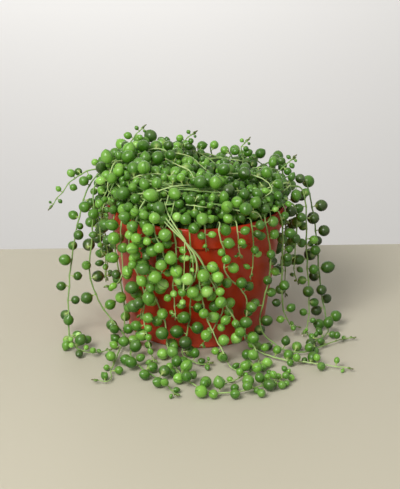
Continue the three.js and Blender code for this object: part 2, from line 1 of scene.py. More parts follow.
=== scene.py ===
"""A potted string-of-pearls plant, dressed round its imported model.

The plant's layout is the model's own: the same routes, the same rule for the pearls and the same seeds.
It is worked out in millimetres, and each mesh is turned into metres when it is made.
"""

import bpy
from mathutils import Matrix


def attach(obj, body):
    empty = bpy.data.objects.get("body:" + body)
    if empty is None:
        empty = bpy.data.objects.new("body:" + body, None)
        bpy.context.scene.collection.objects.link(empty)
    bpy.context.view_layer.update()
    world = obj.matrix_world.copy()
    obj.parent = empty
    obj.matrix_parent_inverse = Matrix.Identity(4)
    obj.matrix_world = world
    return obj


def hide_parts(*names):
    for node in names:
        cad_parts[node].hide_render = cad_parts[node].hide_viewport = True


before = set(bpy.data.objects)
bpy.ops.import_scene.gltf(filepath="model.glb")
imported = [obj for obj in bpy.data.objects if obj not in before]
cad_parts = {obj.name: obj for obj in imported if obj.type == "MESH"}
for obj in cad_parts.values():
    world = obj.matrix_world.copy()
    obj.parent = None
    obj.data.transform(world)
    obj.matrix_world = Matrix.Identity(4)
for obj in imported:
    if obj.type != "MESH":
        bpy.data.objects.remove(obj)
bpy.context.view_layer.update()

import math

import bpy
import numpy as np
from mathutils import Vector, noise

MM = 0.001
MODEL_SEED = 7
FINE_SEED = 5  # for what the model doesn't have

# Pot
POT_HEIGHT = 88
RIM_RADIUS = 60
BASE_RADIUS = 45.5
BAND_HEIGHT = 14.5  # the collar below the rim
COLLAR_RADIUS = 58.4  # the collar's foot
BODY_TOP_RADIUS = 56.3  # outside, just under the collar
WALL = 1.8
FLOOR = 2.6
LIP = 0.6
FOOT = {"height": 3.2, "proud": 0.7, "chamfer": 1.2}
STANDING_RING = {"inner": 39.5, "outer": 45}
UNDERSIDE = {"recess": 1.2, "draft": 1, "boss": 13}
DRAIN = {"count": 6, "radius": 3.6, "circle": 25, "below": -2, "sides": 40}
POT_SIDES = 224
FILLET = 0.9
FILLET_STEPS = 5
FILLET_SHARE = 0.45  # of an edge, which a fillet may take up

# Soil and crown
CLEARANCE = 0.35
SOIL_TOP = POT_HEIGHT - 8
SOIL_SLACK = 0.25
SOIL_EDGE = 1.2
CROWN = {
    "waist": 97, "radius": 54.5, "sideways": 2.5, "neck": 47.5, "dome": 5, "hump": 20, "hump_angle": 158,
    "squareness": 0.65, "tilts": [6, 18, 32, 48, 66, 84, 98, 110, 122],
}

# Strands
STEM_RADIUS = 0.8
PEARL_RADIUS = 3.6
UNEVENNESS = 0.15
GAP_UNEVENNESS = 0.2
PETIOLE = 0.9
PEARL_CLEARANCE = 0.8
PEARL_OVERLAP = 0.12
FIRST_PEARL = 11
FIRST_STRAY = 0.6
RESTING = 1.5  # a pearl whose underside is lower than this lies on the surface
TAPER_LENGTH = 24
TIP_SHARE = 0.4
ROOT_RADIUS = 52.6
ROOT_DEPTH = 4
ROOT_RISE = 3
OVER_RIM = {"inside": 2.6, "top": 3.8, "clear": 0.3}  # heights over the rim, and how far outside it
STEM_STEP = 2  # distance between the balls that stand for a stem
PEARL_TURN = 144  # from one pearl to the next round the stem
PEARL_STRAY = 30
TRIES = 8

# The strands that the viewer sees, as in the model. Each has its name, the angle at which it stands in
# the soil, or leaves the crown's side where it has a tilt from the top too, the distance between its
# pearls at its start and its end, their size, and the points that it passes, as angle, radius and height.
SEEN = [
    ("strand_left_outer", 172, 82, (12, 5.5), 1.03, [(176, 71, 96), (-178, 75, 86), (-174, 80, 68),
        (-170, 85, 42), (-162, 89, 20), (-150, 94, 6), (-142, 92, 3), (-138, 84, 2.6), (-137, 77, 2.6)]),
    ("strand_left_long", 176, 42, (13, 6), 1.12, [(178, 53, 114), (-176, 62, 107), (-171, 68, 97),
        (-167, 69, 86), (-165, 71, 66), (-162, 74, 46), (-158, 71, 29), (-152, 65, 16), (-140, 63, 8.5),
        (-130, 67, 5), (-123, 77, 3), (-111, 91, 2.8), (-102, 102, 2.6), (-96, 120, 2.6)]),
    ("strand_left_short", -163, None, (6, 8), 1, [(-161, 65, 86), (-160, 67, 72), (-159, 66, 58)]),
    ("strand_left_front", -147, None, (8, 9), 1, [(-146, 64, 87), (-147, 63, 70), (-149, 59, 46),
        (-148, 56, 24), (-147, 57, 8), (-142, 61, 3.2), (-134.5, 71, 2.6), (-129, 82, 2.6), (-123, 99, 2.6),
        (-119, 113, 2.6), (-123, 117, 2.8)]),
    ("strand_front_left_tip", -139, None, (6.5, 8), 1.15, [(-138.5, 64, 87), (-138, 65, 68), (-138, 64, 52),
        (-143, 65.5, 43), (-148, 69, 40)]),
    ("strand_front_left_1", -131, None, (6.5, 9), 1.3, [(-131, 64, 87), (-134, 62, 74), (-135, 60.5, 67),
        (-133, 59, 57), (-129, 57.6, 48), (-127, 56.5, 39), (-129, 56, 30), (-131, 56, 20)]),
    ("strand_front_left_2", -124, 80, (6.5, 8), 1.15, [(-125, 66, 92), (-126, 65, 84), (-126, 63.6, 75),
        (-126, 60.7, 62), (-122, 59, 52), (-120, 58, 44), (-116, 58, 36), (-111, 57, 22), (-108, 61, 9),
        (-105, 64, 3.4), (-99, 82.5, 2.8), (-93, 99, 2.6), (-86, 114.5, 2.6), (-79, 117.5, 2.6),
        (-70, 113.5, 2.6), (-62, 110, 2.6), (-57, 106, 2.6)]),
    ("strand_front_left_3", -113, 72, (6, 6.5), 1.2, [(-114, 67, 98), (-112, 69.5, 88), (-108, 69.5, 77),
        (-107, 68, 67), (-113, 66, 55), (-120, 64.5, 46), (-123, 62.5, 34), (-124, 61, 21), (-120, 63, 11),
        (-116, 67, 4.5), (-111, 77, 3)]),
    ("strand_front_left_4", -104, None, (6.5, 8.5), 1.15, [(-103, 62.5, 87), (-102, 62.5, 76),
        (-102, 61.5, 66), (-104, 60.5, 54), (-104.5, 59, 45), (-104, 58, 36), (-104, 57, 26)]),
    ("strand_front_dark", -94, None, (8, 5.5), 1.15, [(-94, 62.5, 86), (-93.5, 61, 75), (-94, 58.5, 65),
        (-94, 56.5, 52), (-94, 55.5, 37), (-95, 55.5, 23), (-97.5, 58, 11), (-98, 64, 4.2), (-92, 71, 3),
        (-87, 76, 2.8), (-83, 73, 2.8)]),
    ("strand_front_short", -85, None, (7, 7), 1, [(-85, 63, 87), (-84.5, 62, 76)]),
    ("strand_front_right", -76, None, (10, 7.5), 0.98, [(-77, 63, 87), (-73, 61, 71), (-72.5, 59.5, 60),
        (-69, 58, 53), (-62, 57.5, 46), (-56, 57, 37), (-55, 57, 28), (-57, 57.5, 17), (-58, 60.5, 9),
        (-56, 68, 4.5), (-53, 78, 2.8), (-50, 90, 2.6), (-46, 99, 2.6), (-43, 111, 2.6), (-40, 127, 2.6)]),
    ("strand_front_right_short", -66, None, (7, 7), 1, [(-66, 63.5, 87), (-65, 63, 76), (-64, 62.5, 69)]),
    ("strand_right_front", -56, None, (9, 7), 0.98, [(-56, 63, 87), (-54, 61.5, 74), (-53, 60, 64),
        (-56, 62, 53)]),
    ("strand_right_floor", -45, None, (10, 9), 1, [(-46, 63.5, 86), (-41, 63, 64), (-40, 61, 46),
        (-43, 59.5, 32), (-46, 59.5, 20), (-46, 62, 11), (-44.5, 70, 5.5), (-43, 79, 3), (-40, 88.5, 2.6),
        (-30, 94, 2.6), (-21, 102, 2.6), (-18, 109, 2.6)]),
    ("strand_right_edge", -32, None, (8, 6.5), 0.98, [(-32, 64, 87), (-29, 64, 66), (-28, 63, 42),
        (-27, 64, 22), (-22, 67, 8), (-14, 70, 3)]),
    ("strand_right_short", -15, None, (6, 9), 1, [(-13, 66, 87), (-11, 67, 68), (-10, 66, 52), (-8, 66, 38),
        (-6, 68, 31)]),
    ("strand_right_inner", -6, 84, (8, 7), 1.02, [(-5, 69, 97), (-4, 72, 85), (-3, 73, 66), (-4, 74, 44),
        (-8, 76, 22), (-15, 77, 8), (-22, 77, 3)]),
    ("strand_right_outer", 8, 78, (9, 6), 1.15, [(8, 72, 98), (6, 76, 86), (3, 79, 70), (1, 81, 50),
        (0, 83, 30), (-3, 86, 12), (-9, 89, 4), (-19, 91, 3), (-28, 86, 2.8)]),
]

# The bundle of bare stems that leaves the crown together at the front, then fans out down the pot. Each
# of them has the distances between its pearls, their size, the length of it that is bare, and its points.
BUNDLE = {"name": "spray_front", "root": -113, "tilt": 50}
NECK = [(-110, 56, 107), (-106, 63.5, 101), (-101, 68.5, 92), (-96, 70, 84)]
FANS = [
    ((8, 8), 1.05, 8, [(-93.5, 69, 77), (-92, 67.5, 69), (-92, 66, 61)]),
    ((8, 8), 1.35, 26, [(-91, 70.5, 75), (-90, 69.5, 65), (-93, 67, 54), (-98, 64, 46), (-98, 62, 38)]),
    ((8.5, 6), 1.1, 24, [(-89, 68.5, 73), (-84, 66, 61), (-78, 64.5, 46), (-72, 64.5, 35), (-65, 66, 21),
        (-60, 71, 11), (-60, 79, 3.4), (-65, 89, 2.8), (-72, 95.5, 2.6), (-78, 102.5, 2.6),
        (-83, 103.5, 2.6)]),
    ((9, 6.5), 1.1, 20, [(-91, 68.5, 74), (-89, 66, 62), (-88, 64, 50), (-86, 63, 37), (-82, 65, 23),
        (-77, 71, 10), (-75, 82, 3.2), (-73, 90, 2.8)]),
    ((7.5, 7.5), 1, 22, [(-89, 66, 73), (-84, 62.5, 61), (-79, 60, 52), (-75, 58, 42), (-73, 57.5, 31),
        (-76, 57, 24), (-81, 57.5, 16), (-87, 59.5, 8.5)]),
]

# Strands round the back, by rule. A pair is a least value and what chance adds to it at most.
BACK = {
    "count": 11,
    "from": 23,
    "to": 161,
    "seed": 41,
    "stray": 0.3,  # of a root from its place, against the distance between two
    "hang": 64.5,  # radius at which a strand that is rooted in the soil hangs
    "high_hang": 74,  # and one that is rooted in the crown
    "tilt": 80,  # where that one leaves the crown
    "loose": 4,  # how much further out some hang
    "sway": 7,
    "bend": 8,
    "run": (6, 24),  # length behind the pot, or by which one at the side ends higher
    "far_back": 53,  # from this angle to its mirror image the strands reach the surface behind the pot
    "landing": 15,  # how far out from their hanging radius they touch it
    "side_end": 34,  # height at which the others end
    "gap": (8, 3),
    "tip_gap": 7.5,
    "size": (1, 0.15),
}

# Short tips that stand out of the crown
SPRIGS = [
    [(160, 48, 98), (163, 66, 103), (170, 82, 98), (174, 91, 88), (176, 98, 79)],
    [(155, 46, 100), (155, 49, 118), (153, 45, 126), (148, 41, 131)],
    [(112, 28, 100), (110, 29, 114), (104, 26, 122), (92, 25, 126)],
    [(42, 38, 93), (40, 41, 107), (38, 38, 116), (36, 43, 121)],
    [(16, 50, 93), (15, 58, 103), (13, 67, 112)],
]
SPRIG_RULE = {"gap": (6, 5), "size": 0.8, "bare": 14}


def cosine(angle):
    return math.cos(math.radians(angle))


def sine(angle):
    return math.sin(math.radians(angle))


def polar(angle, radius, height):
    return np.array([radius * cosine(angle), radius * sine(angle), height], float)


def angle_of(point):
    return math.degrees(math.atan2(point[1], point[0]))


def angle_between(angle, other):
    return (angle - other + 180) % 360 - 180


def draws(seed):
    """A function that gives a repeatable stream of numbers from 0 to 1, the model's own."""
    state = seed
    mask = 0xFFFFFFFF

    def draw():
        nonlocal state
        state = (state + 0x6D2B79F5) & mask
        mixed = ((state ^ (state >> 15)) * (1 | state)) & mask
        mixed = (mixed + (((mixed ^ (mixed >> 7)) * (61 | mixed)) & mask)) & mask ^ mixed
        return (mixed ^ (mixed >> 14)) / 4294967296

    return draw


def upto(draw, least, spread):
    """A least value, to which chance adds up to its spread."""
    return least + spread * draw()


def unit(vector):
    return vector / np.linalg.norm(vector)


def pot_outline():
    """Closed outline of the pot's section, from the middle of its underside outwards and back inside."""
    shoulder = POT_HEIGHT - BAND_HEIGHT
    return [
        (0, 0),
        (UNDERSIDE["boss"], 0),
        (UNDERSIDE["boss"] + UNDERSIDE["draft"], UNDERSIDE["recess"]),
        (STANDING_RING["inner"] - UNDERSIDE["draft"], UNDERSIDE["recess"]),
        (STANDING_RING["inner"], 0),
        (STANDING_RING["outer"], 0),
        (BASE_RADIUS + FOOT["proud"], FOOT["chamfer"]),
        (BASE_RADIUS + FOOT["proud"] / 2, FOOT["height"]),
        (BODY_TOP_RADIUS, shoulder),
        (COLLAR_RADIUS, shoulder + LIP),
        (RIM_RADIUS, POT_HEIGHT - 2 * LIP),
        (RIM_RADIUS - LIP, POT_HEIGHT),
        (RIM_RADIUS - LIP - WALL, POT_HEIGHT),
        (COLLAR_RADIUS - WALL, shoulder + LIP + WALL / 2),
        (BODY_TOP_RADIUS - WALL, shoulder),
        (BASE_RADIUS - WALL, FLOOR),
        (0, FLOOR),
    ]


def crown_radius(angle):
    return CROWN["radius"] + CROWN["sideways"] * cosine(2 * angle)


def crown_point(angle, tilt):
    """Radius and height of the crown's core at an angle round the pot and a tilt from the top."""
    if tilt > 90:
        down = (tilt - 90) / (CROWN["tilts"][-1] - 90)
        radius = CROWN["neck"] + (crown_radius(angle) - CROWN["neck"]) * (1 - down)
        return radius, CROWN["waist"] - (CROWN["waist"] - SOIL_TOP - CLEARANCE) * down
    swell = sine(tilt) ** CROWN["squareness"]
    towards = 0.5 + 0.5 * cosine(angle - CROWN["hump_angle"])
    dome = CROWN["dome"] + CROWN["hump"] * swell * towards
    rise = max(0.0, cosine(tilt)) ** CROWN["squareness"]
    return crown_radius(angle) * swell, CROWN["waist"] + dome * rise


def over_crown(angle, tilt, distance):
    """A point off the core's surface, as angle, radius and height."""
    radius, height = crown_point(angle, tilt)
    return angle, radius + distance * sine(tilt), height + distance * cosine(tilt)


def distance_to(outline, point):
    """Shortest distance from a point to a section outline."""
    place = np.array([math.hypot(point[0], point[1]), point[2]])
    starts, steps = outline[:-1], np.diff(outline, axis=0)
    along = ((place - starts) * steps).sum(1) / (steps**2).sum(1)
    nearest = starts + np.clip(along, 0, 1)[:, None] * steps
    return np.linalg.norm(nearest - place, axis=1).min()


POT_SECTION = np.array(pot_outline(), float)
SOIL_SECTION = np.array([(0, SOIL_TOP), (BODY_TOP_RADIUS, SOIL_TOP)], float)


def clear_of_rim(point, radius):
    return distance_to(POT_SECTION, point) >= radius + CLEARANCE


def clear_of_pot(point, radius):
    """True if a ball there is clear of the pot, the soil, the surface below and the crown's core."""
    crown_section = np.array([crown_point(angle_of(point), tilt) for tilt in CROWN["tilts"]])
    sections = (POT_SECTION, SOIL_SECTION, crown_section)
    return point[2] >= radius and all(distance_to(s, point) > radius + CLEARANCE for s in sections)


MOST_BALLS = 16384


class Balls:
    """The stems and pearls laid out so far, as balls with an owner each."""

    def __init__(self):
        self.rows = np.zeros((MOST_BALLS, 4))
        self.owners = np.zeros(MOST_BALLS, int)
        self.names = {}
        self.count = 0

    def add(self, centre, radius, owner):
        self.rows[self.count] = [*centre, radius]
        self.owners[self.count] = self.names.setdefault(owner, len(self.names))
        self.count += 1

    def follow(self, path, radius, owner):
        marks = marks_of(path)
        for s in np.arange(0, marks[-1], STEM_STEP):
            self.add(place_at(path, marks, s)[0], radius, owner)

    def take(self, centre, radius, owner, apart=PEARL_CLEARANCE, overlap=PEARL_OVERLAP, free=clear_of_pot):
        """Adds a ball if it is clear of the pot and the others; those of its own owner may touch it."""
        rows, owners = self.rows[: self.count], self.owners[: self.count]
        reach = radius + rows[:, 3]
        gap = np.where(owners == self.names.get(owner, -1), -overlap * reach, apart)
        clear = (np.linalg.norm(rows[:, :3] - centre, axis=1) > reach + gap).all() and free(centre, radius)
        if clear:
            self.add(centre, radius, owner)
        return clear


def root_points(root, tilt):
    """A stem stands in the soil inside the rim and crosses it, or leaves the crown's side at a tilt."""
    if tilt is not None:
        return [over_crown(root, tilt, distance) for distance in (-ROOT_DEPTH, ROOT_RISE, 2 * ROOT_RISE)]
    return [
        (root, ROOT_RADIUS, SOIL_TOP - ROOT_DEPTH),
        (root, ROOT_RADIUS, SOIL_TOP + ROOT_RISE),
        (root, ROOT_RADIUS + ROOT_RISE, POT_HEIGHT + OVER_RIM["inside"]),
        (root, RIM_RADIUS + OVER_RIM["clear"], POT_HEIGHT + OVER_RIM["top"]),
    ]


def path_through(points, steps=8):
    """A smooth row of points through angle, radius and height triples: a centripetal Catmull-Rom curve."""
    spots = np.array([polar(*point) for point in points])
    spots = np.vstack([2 * spots[0] - spots[1], spots, 2 * spots[-1] - spots[-2]])
    pieces = len(points) - 1
    row = []
    for step in range(steps * len(points) + 1):
        place = pieces * step / (steps * len(points))
        first = min(int(place), pieces - 1)
        share = place - first
        a, b, c, d = spots[first : first + 4]
        before, here, after = (np.linalg.norm(q - p) ** 0.5 for p, q in ((a, b), (b, c), (c, d)))
        leaving = ((b - a) / before - (c - a) / (before + here) + (c - b) / here) * here
        arriving = ((c - b) / here - (d - b) / (here + after) + (d - c) / after) * here
        bend = -3 * b + 3 * c - 2 * leaving - arriving
        twist = 2 * b - 2 * c + leaving + arriving
        row.append(b + leaving * share + bend * share**2 + twist * share**3)
    return np.array(row)


def marks_of(path):
    """Distance of each point of a path from its start."""
    return np.concatenate([[0], np.cumsum(np.linalg.norm(np.diff(path, axis=0), axis=1))])


def place_at(path, marks, distance):
    """Point and direction at a distance along a path."""
    i = min(max(1, int(np.searchsorted(marks, distance))), len(marks) - 1)
    step = path[i] - path[i - 1]
    share = (distance - marks[i - 1]) / (marks[i] - marks[i - 1])
    return path[i - 1] + share * step, unit(step)


def pearls_along(stem, owner, draw, taken):
    """Pearls along a stem: each tries directions round it, and is left out where none is clear."""
    path, (near, far) = stem["path"], stem["gap"]
    marks = marks_of(path)
    length = marks[-1]
    pearls = []
    index = 0
    s = stem.get("bare", FIRST_PEARL) + FIRST_STRAY * near * draw()
    while s < length:
        taper = TIP_SHARE + (1 - TIP_SHARE) * min(1, (length - s) / TAPER_LENGTH)
        radius = PEARL_RADIUS * stem["size"] * taper * (1 + UNEVENNESS * (2 * draw() - 1))
        turn = index * PEARL_TURN + PEARL_STRAY * (2 * draw() - 1)
        point, along = place_at(path, marks, s)
        outward = unit(np.array([point[0], point[1], 0]))
        side = unit(np.cross(along, outward))
        front = unit(np.cross(side, along))
        reach = radius + STEM_RADIUS + PETIOLE * taper
        for i in range(TRIES):
            swing = (-1 if i % 2 else 1) * math.ceil(i / 2) * 360 / TRIES
            angle = math.radians(turn + swing)
            centre = point + reach * (side * math.cos(angle) + front * math.sin(angle))
            if centre[2] < radius + RESTING:
                centre[2] = radius
            if taken.take(centre, radius, owner):
                pearls.append({"centre": centre, "radius": radius, "foot": point, "s": s, "taper": taper})
                break
        usual = near + (far - near) * min(1, s / length)
        s += usual * (1 + GAP_UNEVENNESS * (2 * draw() - 1)) * (0.5 + 0.5 * taper)
        index += 1
    return pearls


def back_strand(index, draw):
    """A strand of the back, by its number."""
    pitch = (BACK["to"] - BACK["from"]) / (BACK["count"] - 1)
    root = BACK["from"] + pitch * (index + BACK["stray"] * (draw() - 0.5))
    high = index % 2 == 1
    hang = BACK["high_hang" if high else "hang"] + BACK["loose"] * draw()
    sway = BACK["sway"] * (draw() - 0.5)
    lean = root - sway / 2
    bend = lean + BACK["bend"] * (draw() - 0.5)
    run = upto(draw, *BACK["run"])
    start = [(root, BACK["high_hang"] - 3, 97), (root, hang, 86)] if high else [(root, hang, 87)]
    via = [*start, (root + sway, hang + 1, 66), (lean, hang, 42)]
    if abs(root - 90) < 90 - BACK["far_back"]:
        landing = hang + BACK["landing"]
        via += [(lean, hang + 1, 18), (lean, (hang + landing) / 2, 5), ((lean + bend) / 2, landing, 2.8)]
        via += [(bend, landing + run, 2.6)]
    else:
        via += [(bend, hang + 1, BACK["side_end"] - run)]
    gap = (upto(draw, *BACK["gap"]), BACK["tip_gap"])
    size = upto(draw, *BACK["size"])
    return f"strand_back_{index + 1}", root, BACK["tilt"] if high else None, gap, size, via


def single(name, root, tilt, gap, size, via):
    """A strand of one stem."""
    path = path_through([*root_points(root, tilt), *via])
    return {"name": name, "stems": [path], "bearing": [{"path": path, "gap": gap, "size": size}]}


def bundle():
    """The strand whose neck bears nothing and fans out into several stems."""
    neck = path_through([*root_points(BUNDLE["root"], BUNDLE["tilt"]), *NECK])
    paths = [path_through([NECK[-1], *fan[-1]]) for fan in FANS]
    bearing = [
        {"path": path, "gap": gap, "size": size, "bare": bare}
        for path, (gap, size, bare, _) in zip(paths, FANS)
    ]
    return {"name": BUNDLE["name"], "stems": [neck, *paths], "bearing": bearing}


def lay_out():
    """Lays out every strand: the paths of its stems, those of them that bear pearls, and the pearls."""
    draw, back_draw = draws(MODEL_SEED), draws(BACK["seed"])
    strands = [single(*row) for row in SEEN]
    strands += [single(*back_strand(i, back_draw)) for i in range(BACK["count"])]
    strands.append(bundle())
    tips = [path_through(sprig) for sprig in SPRIGS]
    taken = Balls()
    for strand in strands:
        for path in strand["stems"]:
            taken.follow(path, STEM_RADIUS, strand["name"])
    for tip in tips:
        taken.follow(tip, STEM_RADIUS, "crown")
    for strand in strands:
        for stem in strand["bearing"]:
            stem["pearls"] = pearls_along(stem, strand["name"], draw, taken)
    sprigs = [(tip, pearls_along({**SPRIG_RULE, "path": tip}, "crown", draw, taken)) for tip in tips]
    return strands, sprigs, taken


def linked(name, data):
    """An object in the scene, with its data."""
    made = bpy.data.objects.new(name, data)
    bpy.context.scene.collection.objects.link(made)
    return made


class Shape:
    """Points and triangles of one mesh, with the two vectors that the materials read at each point."""

    def __init__(self):
        self.points, self.faces, self.slots, self.place, self.tint = [], [], [], [], []
        self.count = 0

    def add(self, points, faces, slot=0, place=(0, 0, 0), tint=(0, 0, 0)):
        points = np.asarray(points, float).reshape(-1, 3)
        faces = np.asarray(faces, int).reshape(-1, 3)
        self.points.append(points)
        self.faces.append(faces + self.count)
        self.slots.append(np.full(len(faces), slot))
        self.place.append(np.broadcast_to(place, points.shape))
        self.tint.append(np.broadcast_to(tint, points.shape))
        self.count += len(points)

    def piece(self, name, materials):
        """The mesh as a smooth object, in metres."""
        points, faces = np.concatenate(self.points) * MM, np.concatenate(self.faces)
        mesh = bpy.data.meshes.new(name)
        mesh.vertices.add(len(points))
        mesh.vertices.foreach_set("co", points.astype(np.float32).ravel())
        mesh.loops.add(faces.size)
        mesh.loops.foreach_set("vertex_index", faces.astype(np.int32).ravel())
        mesh.polygons.add(len(faces))
        mesh.polygons.foreach_set("loop_start", np.arange(0, faces.size, 3, dtype=np.int32))
        for material in materials:
            mesh.materials.append(material)
        mesh.polygons.foreach_set("material_index", np.concatenate(self.slots).astype(np.int32))
        mesh.update(calc_edges=True)
        for title, rows in (("place", self.place), ("tint", self.tint)):
            values = np.concatenate(rows).astype(np.float32).ravel()
            mesh.attributes.new(title, "FLOAT_VECTOR", "POINT").data.foreach_set("vector", values)
        mesh.shade_smooth()
        return linked(name, mesh)


def ringed_faces(rings, sides):
    """Triangles of a surface through rings of points, with one more point at each end that closes it."""
    faces = []
    last = rings * sides
    for i in range(sides):
        after = (i + 1) % sides
        faces.append((last, after, i))
        faces.append((last + 1, last - sides + i, last - sides + after))
        for start in range(0, last - sides, sides):
            faces.append((start + i, start + after, start + sides + i))
            faces.append((start + after, start + sides + after, start + sides + i))
    return np.array(faces)


STEEP = 0.9  # of a way's upward part, above which it counts as upright


def side_vectors(ways, spins):
    """Two unit vectors square to each way, turned round it by its spin."""
    helper = np.where(np.abs(ways[:, 2:]) > STEEP, [[1.0, 0, 0]], [[0, 0, 1.0]])
    first = np.cross(ways, helper)
    first /= np.linalg.norm(first, axis=1)[:, None]
    second = np.cross(ways, first)
    cos, sin = np.cos(spins)[:, None], np.sin(spins)[:, None]
    return first * cos + second * sin, second * cos - first * sin


LEAF_SIDES = 16
LEAF_RINGS = (14, 30, 50, 70, 90, 110, 130, 147, 160, 170)  # their angles, from the stalk on
POINTEDNESS = 10  # how quickly the point narrows
POINT_END = 1.6  # how far its very end is out, against the rest
# The stalk: its radius, but no more than a share of the leaf's; its rings, each at a share of its length
# and with a share of its radius; and the height that the material reads on it and on its foot
STALK = {"radius": 0.34, "share": 0.3, "rings": ((1, 1.15), (0.45, 0.8)), "mark": -1.3, "foot_mark": -1.5}
END_MARK = 1.1


def add_leaves(shape, leaves, sides=LEAF_SIDES):
    """Round leaves. Each has a centre, the foot of its stalk on the stem, a radius, a length against its
    width, the length of its point, a spin and a tint."""
    if not leaves:
        return
    column = lambda key: np.array([item[key] for item in leaves], float)
    centres, feet, tints, ways = (column(key) for key in ("centre", "foot", "tint", "way"))
    radii, lengths, points = (column(key)[:, None] for key in ("radius", "length", "point"))
    first, second = side_vectors(ways, column("spin"))
    base = centres - ways * radii * lengths
    turns = [(math.cos(t), math.sin(t)) for t in np.linspace(0, 2 * math.pi, sides, endpoint=False)]
    rounds = [first * cos + second * sin for cos, sin in turns]
    rows, places = [], []
    stalk = np.minimum(STALK["radius"], STALK["share"] * radii)
    for share, thickness in STALK["rings"]:
        rows += [base + (feet - base) * share + around * stalk * thickness for around in rounds]
        places += [(0, 0, STALK["mark"])] * sides
    for ring in LEAF_RINGS:
        across, up = sine(ring), -cosine(ring)
        out = ways * radii * (up * lengths + points * max(0.0, up) ** POINTEDNESS)
        rows += [centres + around * radii * across + out for around in rounds]
        places += [(across * cos, across * sin, up) for cos, sin in turns]
    rows += [feet, centres + ways * radii * (lengths + points * POINT_END)]
    places += [(0, 0, STALK["foot_mark"]), (0, 0, END_MARK)]
    corners = np.stack(rows, axis=1)
    starts = len(rows) * np.arange(len(leaves))[:, None, None]
    faces = ringed_faces(len(LEAF_RINGS) + len(STALK["rings"]), sides)[None] + starts
    shape.add(corners, faces, 0, np.tile(places, (len(leaves), 1)), np.repeat(tints, len(rows), axis=0))


HELPER = [0.3, 0.5, 0.8]  # a direction that few stems take, from which the sides of one are worked out
TUBE_SIDES = 8
TUBE_ENDS = (0.5, 0.8)  # how far the ends of a tube stand out, against their radii


def add_tube(shape, path, radii, slot, tint, sides=TUBE_SIDES):
    """A closed tube along a path, with a radius at each of its points."""
    steps = np.gradient(path, axis=0)
    steps /= np.linalg.norm(steps, axis=1)[:, None]
    normal = unit(np.cross(steps[0], HELPER))
    rings = []
    turns = np.linspace(0, 2 * math.pi, sides, endpoint=False)
    for point, along, radius in zip(path, steps, radii):
        normal = unit(normal - along * normal.dot(along))
        other = np.cross(along, normal)
        rings.append([point + radius * (normal * math.cos(t) + other * math.sin(t)) for t in turns])
    first, last = TUBE_ENDS
    ends = [path[0] - steps[0] * radii[0] * first, path[-1] + steps[-1] * radii[-1] * last]
    corners = np.vstack([np.array(rings).reshape(-1, 3), ends])
    shape.add(corners, ringed_faces(len(path), sides), slot, tint=tint)


STEM_SLOT = 1  # the stem's place among the materials; the leaf's is 0
FINE_STEM = 0.5  # radius of the real stems; the model's are thicker
STEM_GRAIN = 1.1  # distance between the rings of a stem
THINNING = {"share": 0.45, "over": 40}  # of a stem's radius, over a length before its tip
KNEE = {"bend": 0.3, "length": 2.4}  # how far a stem bends away from each of its leaves
KNOT = {"radius": 0.16, "length": 0.9}  # by how much it is thicker there
# The buds at a tip: how many, how far apart, how far to the side, how large and how far out, and their look
BUDS = {"count": 3, "apart": 1.5, "lean": 0.9, "radius": 0.55, "more": 0.22, "reach": 2.2, "sides": 8}
BUD_LOOK = {"length": 1.7, "point": 0.5, "shade": 0.5, "wax": 0.2, "brown": (0.75, 0.2), "stray": 0.1}
FINE_SHARE = 0.91  # radius of a real pearl against the model's
LARGEST = 4.3
# Leaves on the table: how low their middles are, their size, how light they are, and how far that goes
ON_TABLE = {"height": 9, "size": 0.92, "shade": 0.42, "share": 0.55}
LENGTH = {"usual": 1.02, "spread": 0.07}  # against its width
STRAY = 0.25  # by how much the way of a leaf is off the one from its stalk
POINT = {"least": 0.05, "spread": 0.05, "sharp": 0.15}  # length of it against the radius; a few are sharp
YOUNG = {"slimmer": 0.25, "length": 0.45, "point": 0.25, "shade": 0.22}  # what changes towards a tip
SHADE_SPREAD = 0.15
HALF_HEIGHT = 45  # below this height the strands on the pot's side are thinner
THINNED = 0.4  # share of the leaves in the gaps that is left there
# The smaller leaves in the gaps: size, distance from the stem and from others, and places along the gap
FILL = {"size": (0.7, 0.25), "off": 0.7, "apart": 0.2, "places": (0.5,), "more_places": (0.35, 0.7)}
FULL = 0.9  # share of its full size below which a leaf counts as young

# By the start of a strand's name: how light its leaves are, from 0 for deep green to 1 for yellow-green,
# how light its stem is, and on what share of the gaps between the model's pearls there is another, where
# it hangs and where it lies. That lightness is partly the strands' own tone and partly painted shade: the
# strands at the sides and back are mostly painted darker than those at the front
LOOKS = [
    ("strand_left_outer", 0.2, 0.4, 0.1, 0.4), ("strand_left_long", 0.2, 0.4, 0.2, 0.6),
    ("strand_left", 0.38, 0.6, 0.15, 0.6), ("strand_front_left", 0.52, 0.75, 0.8, 1.0),
    ("strand_front_dark", 0.25, 0.5, 0.6, 1.1), ("strand_front", 0.45, 0.8, 0.3, 0.9),
    ("spray_front", 0.6, 0.85, 1.3, 1.4), ("strand_right_outer", 0.0, 0.25, 0.1, 0.6),
    ("strand_right", 0.3, 0.5, 0.1, 0.8), ("strand_back", 0.25, 0.45, 0.2, 0.6),
]

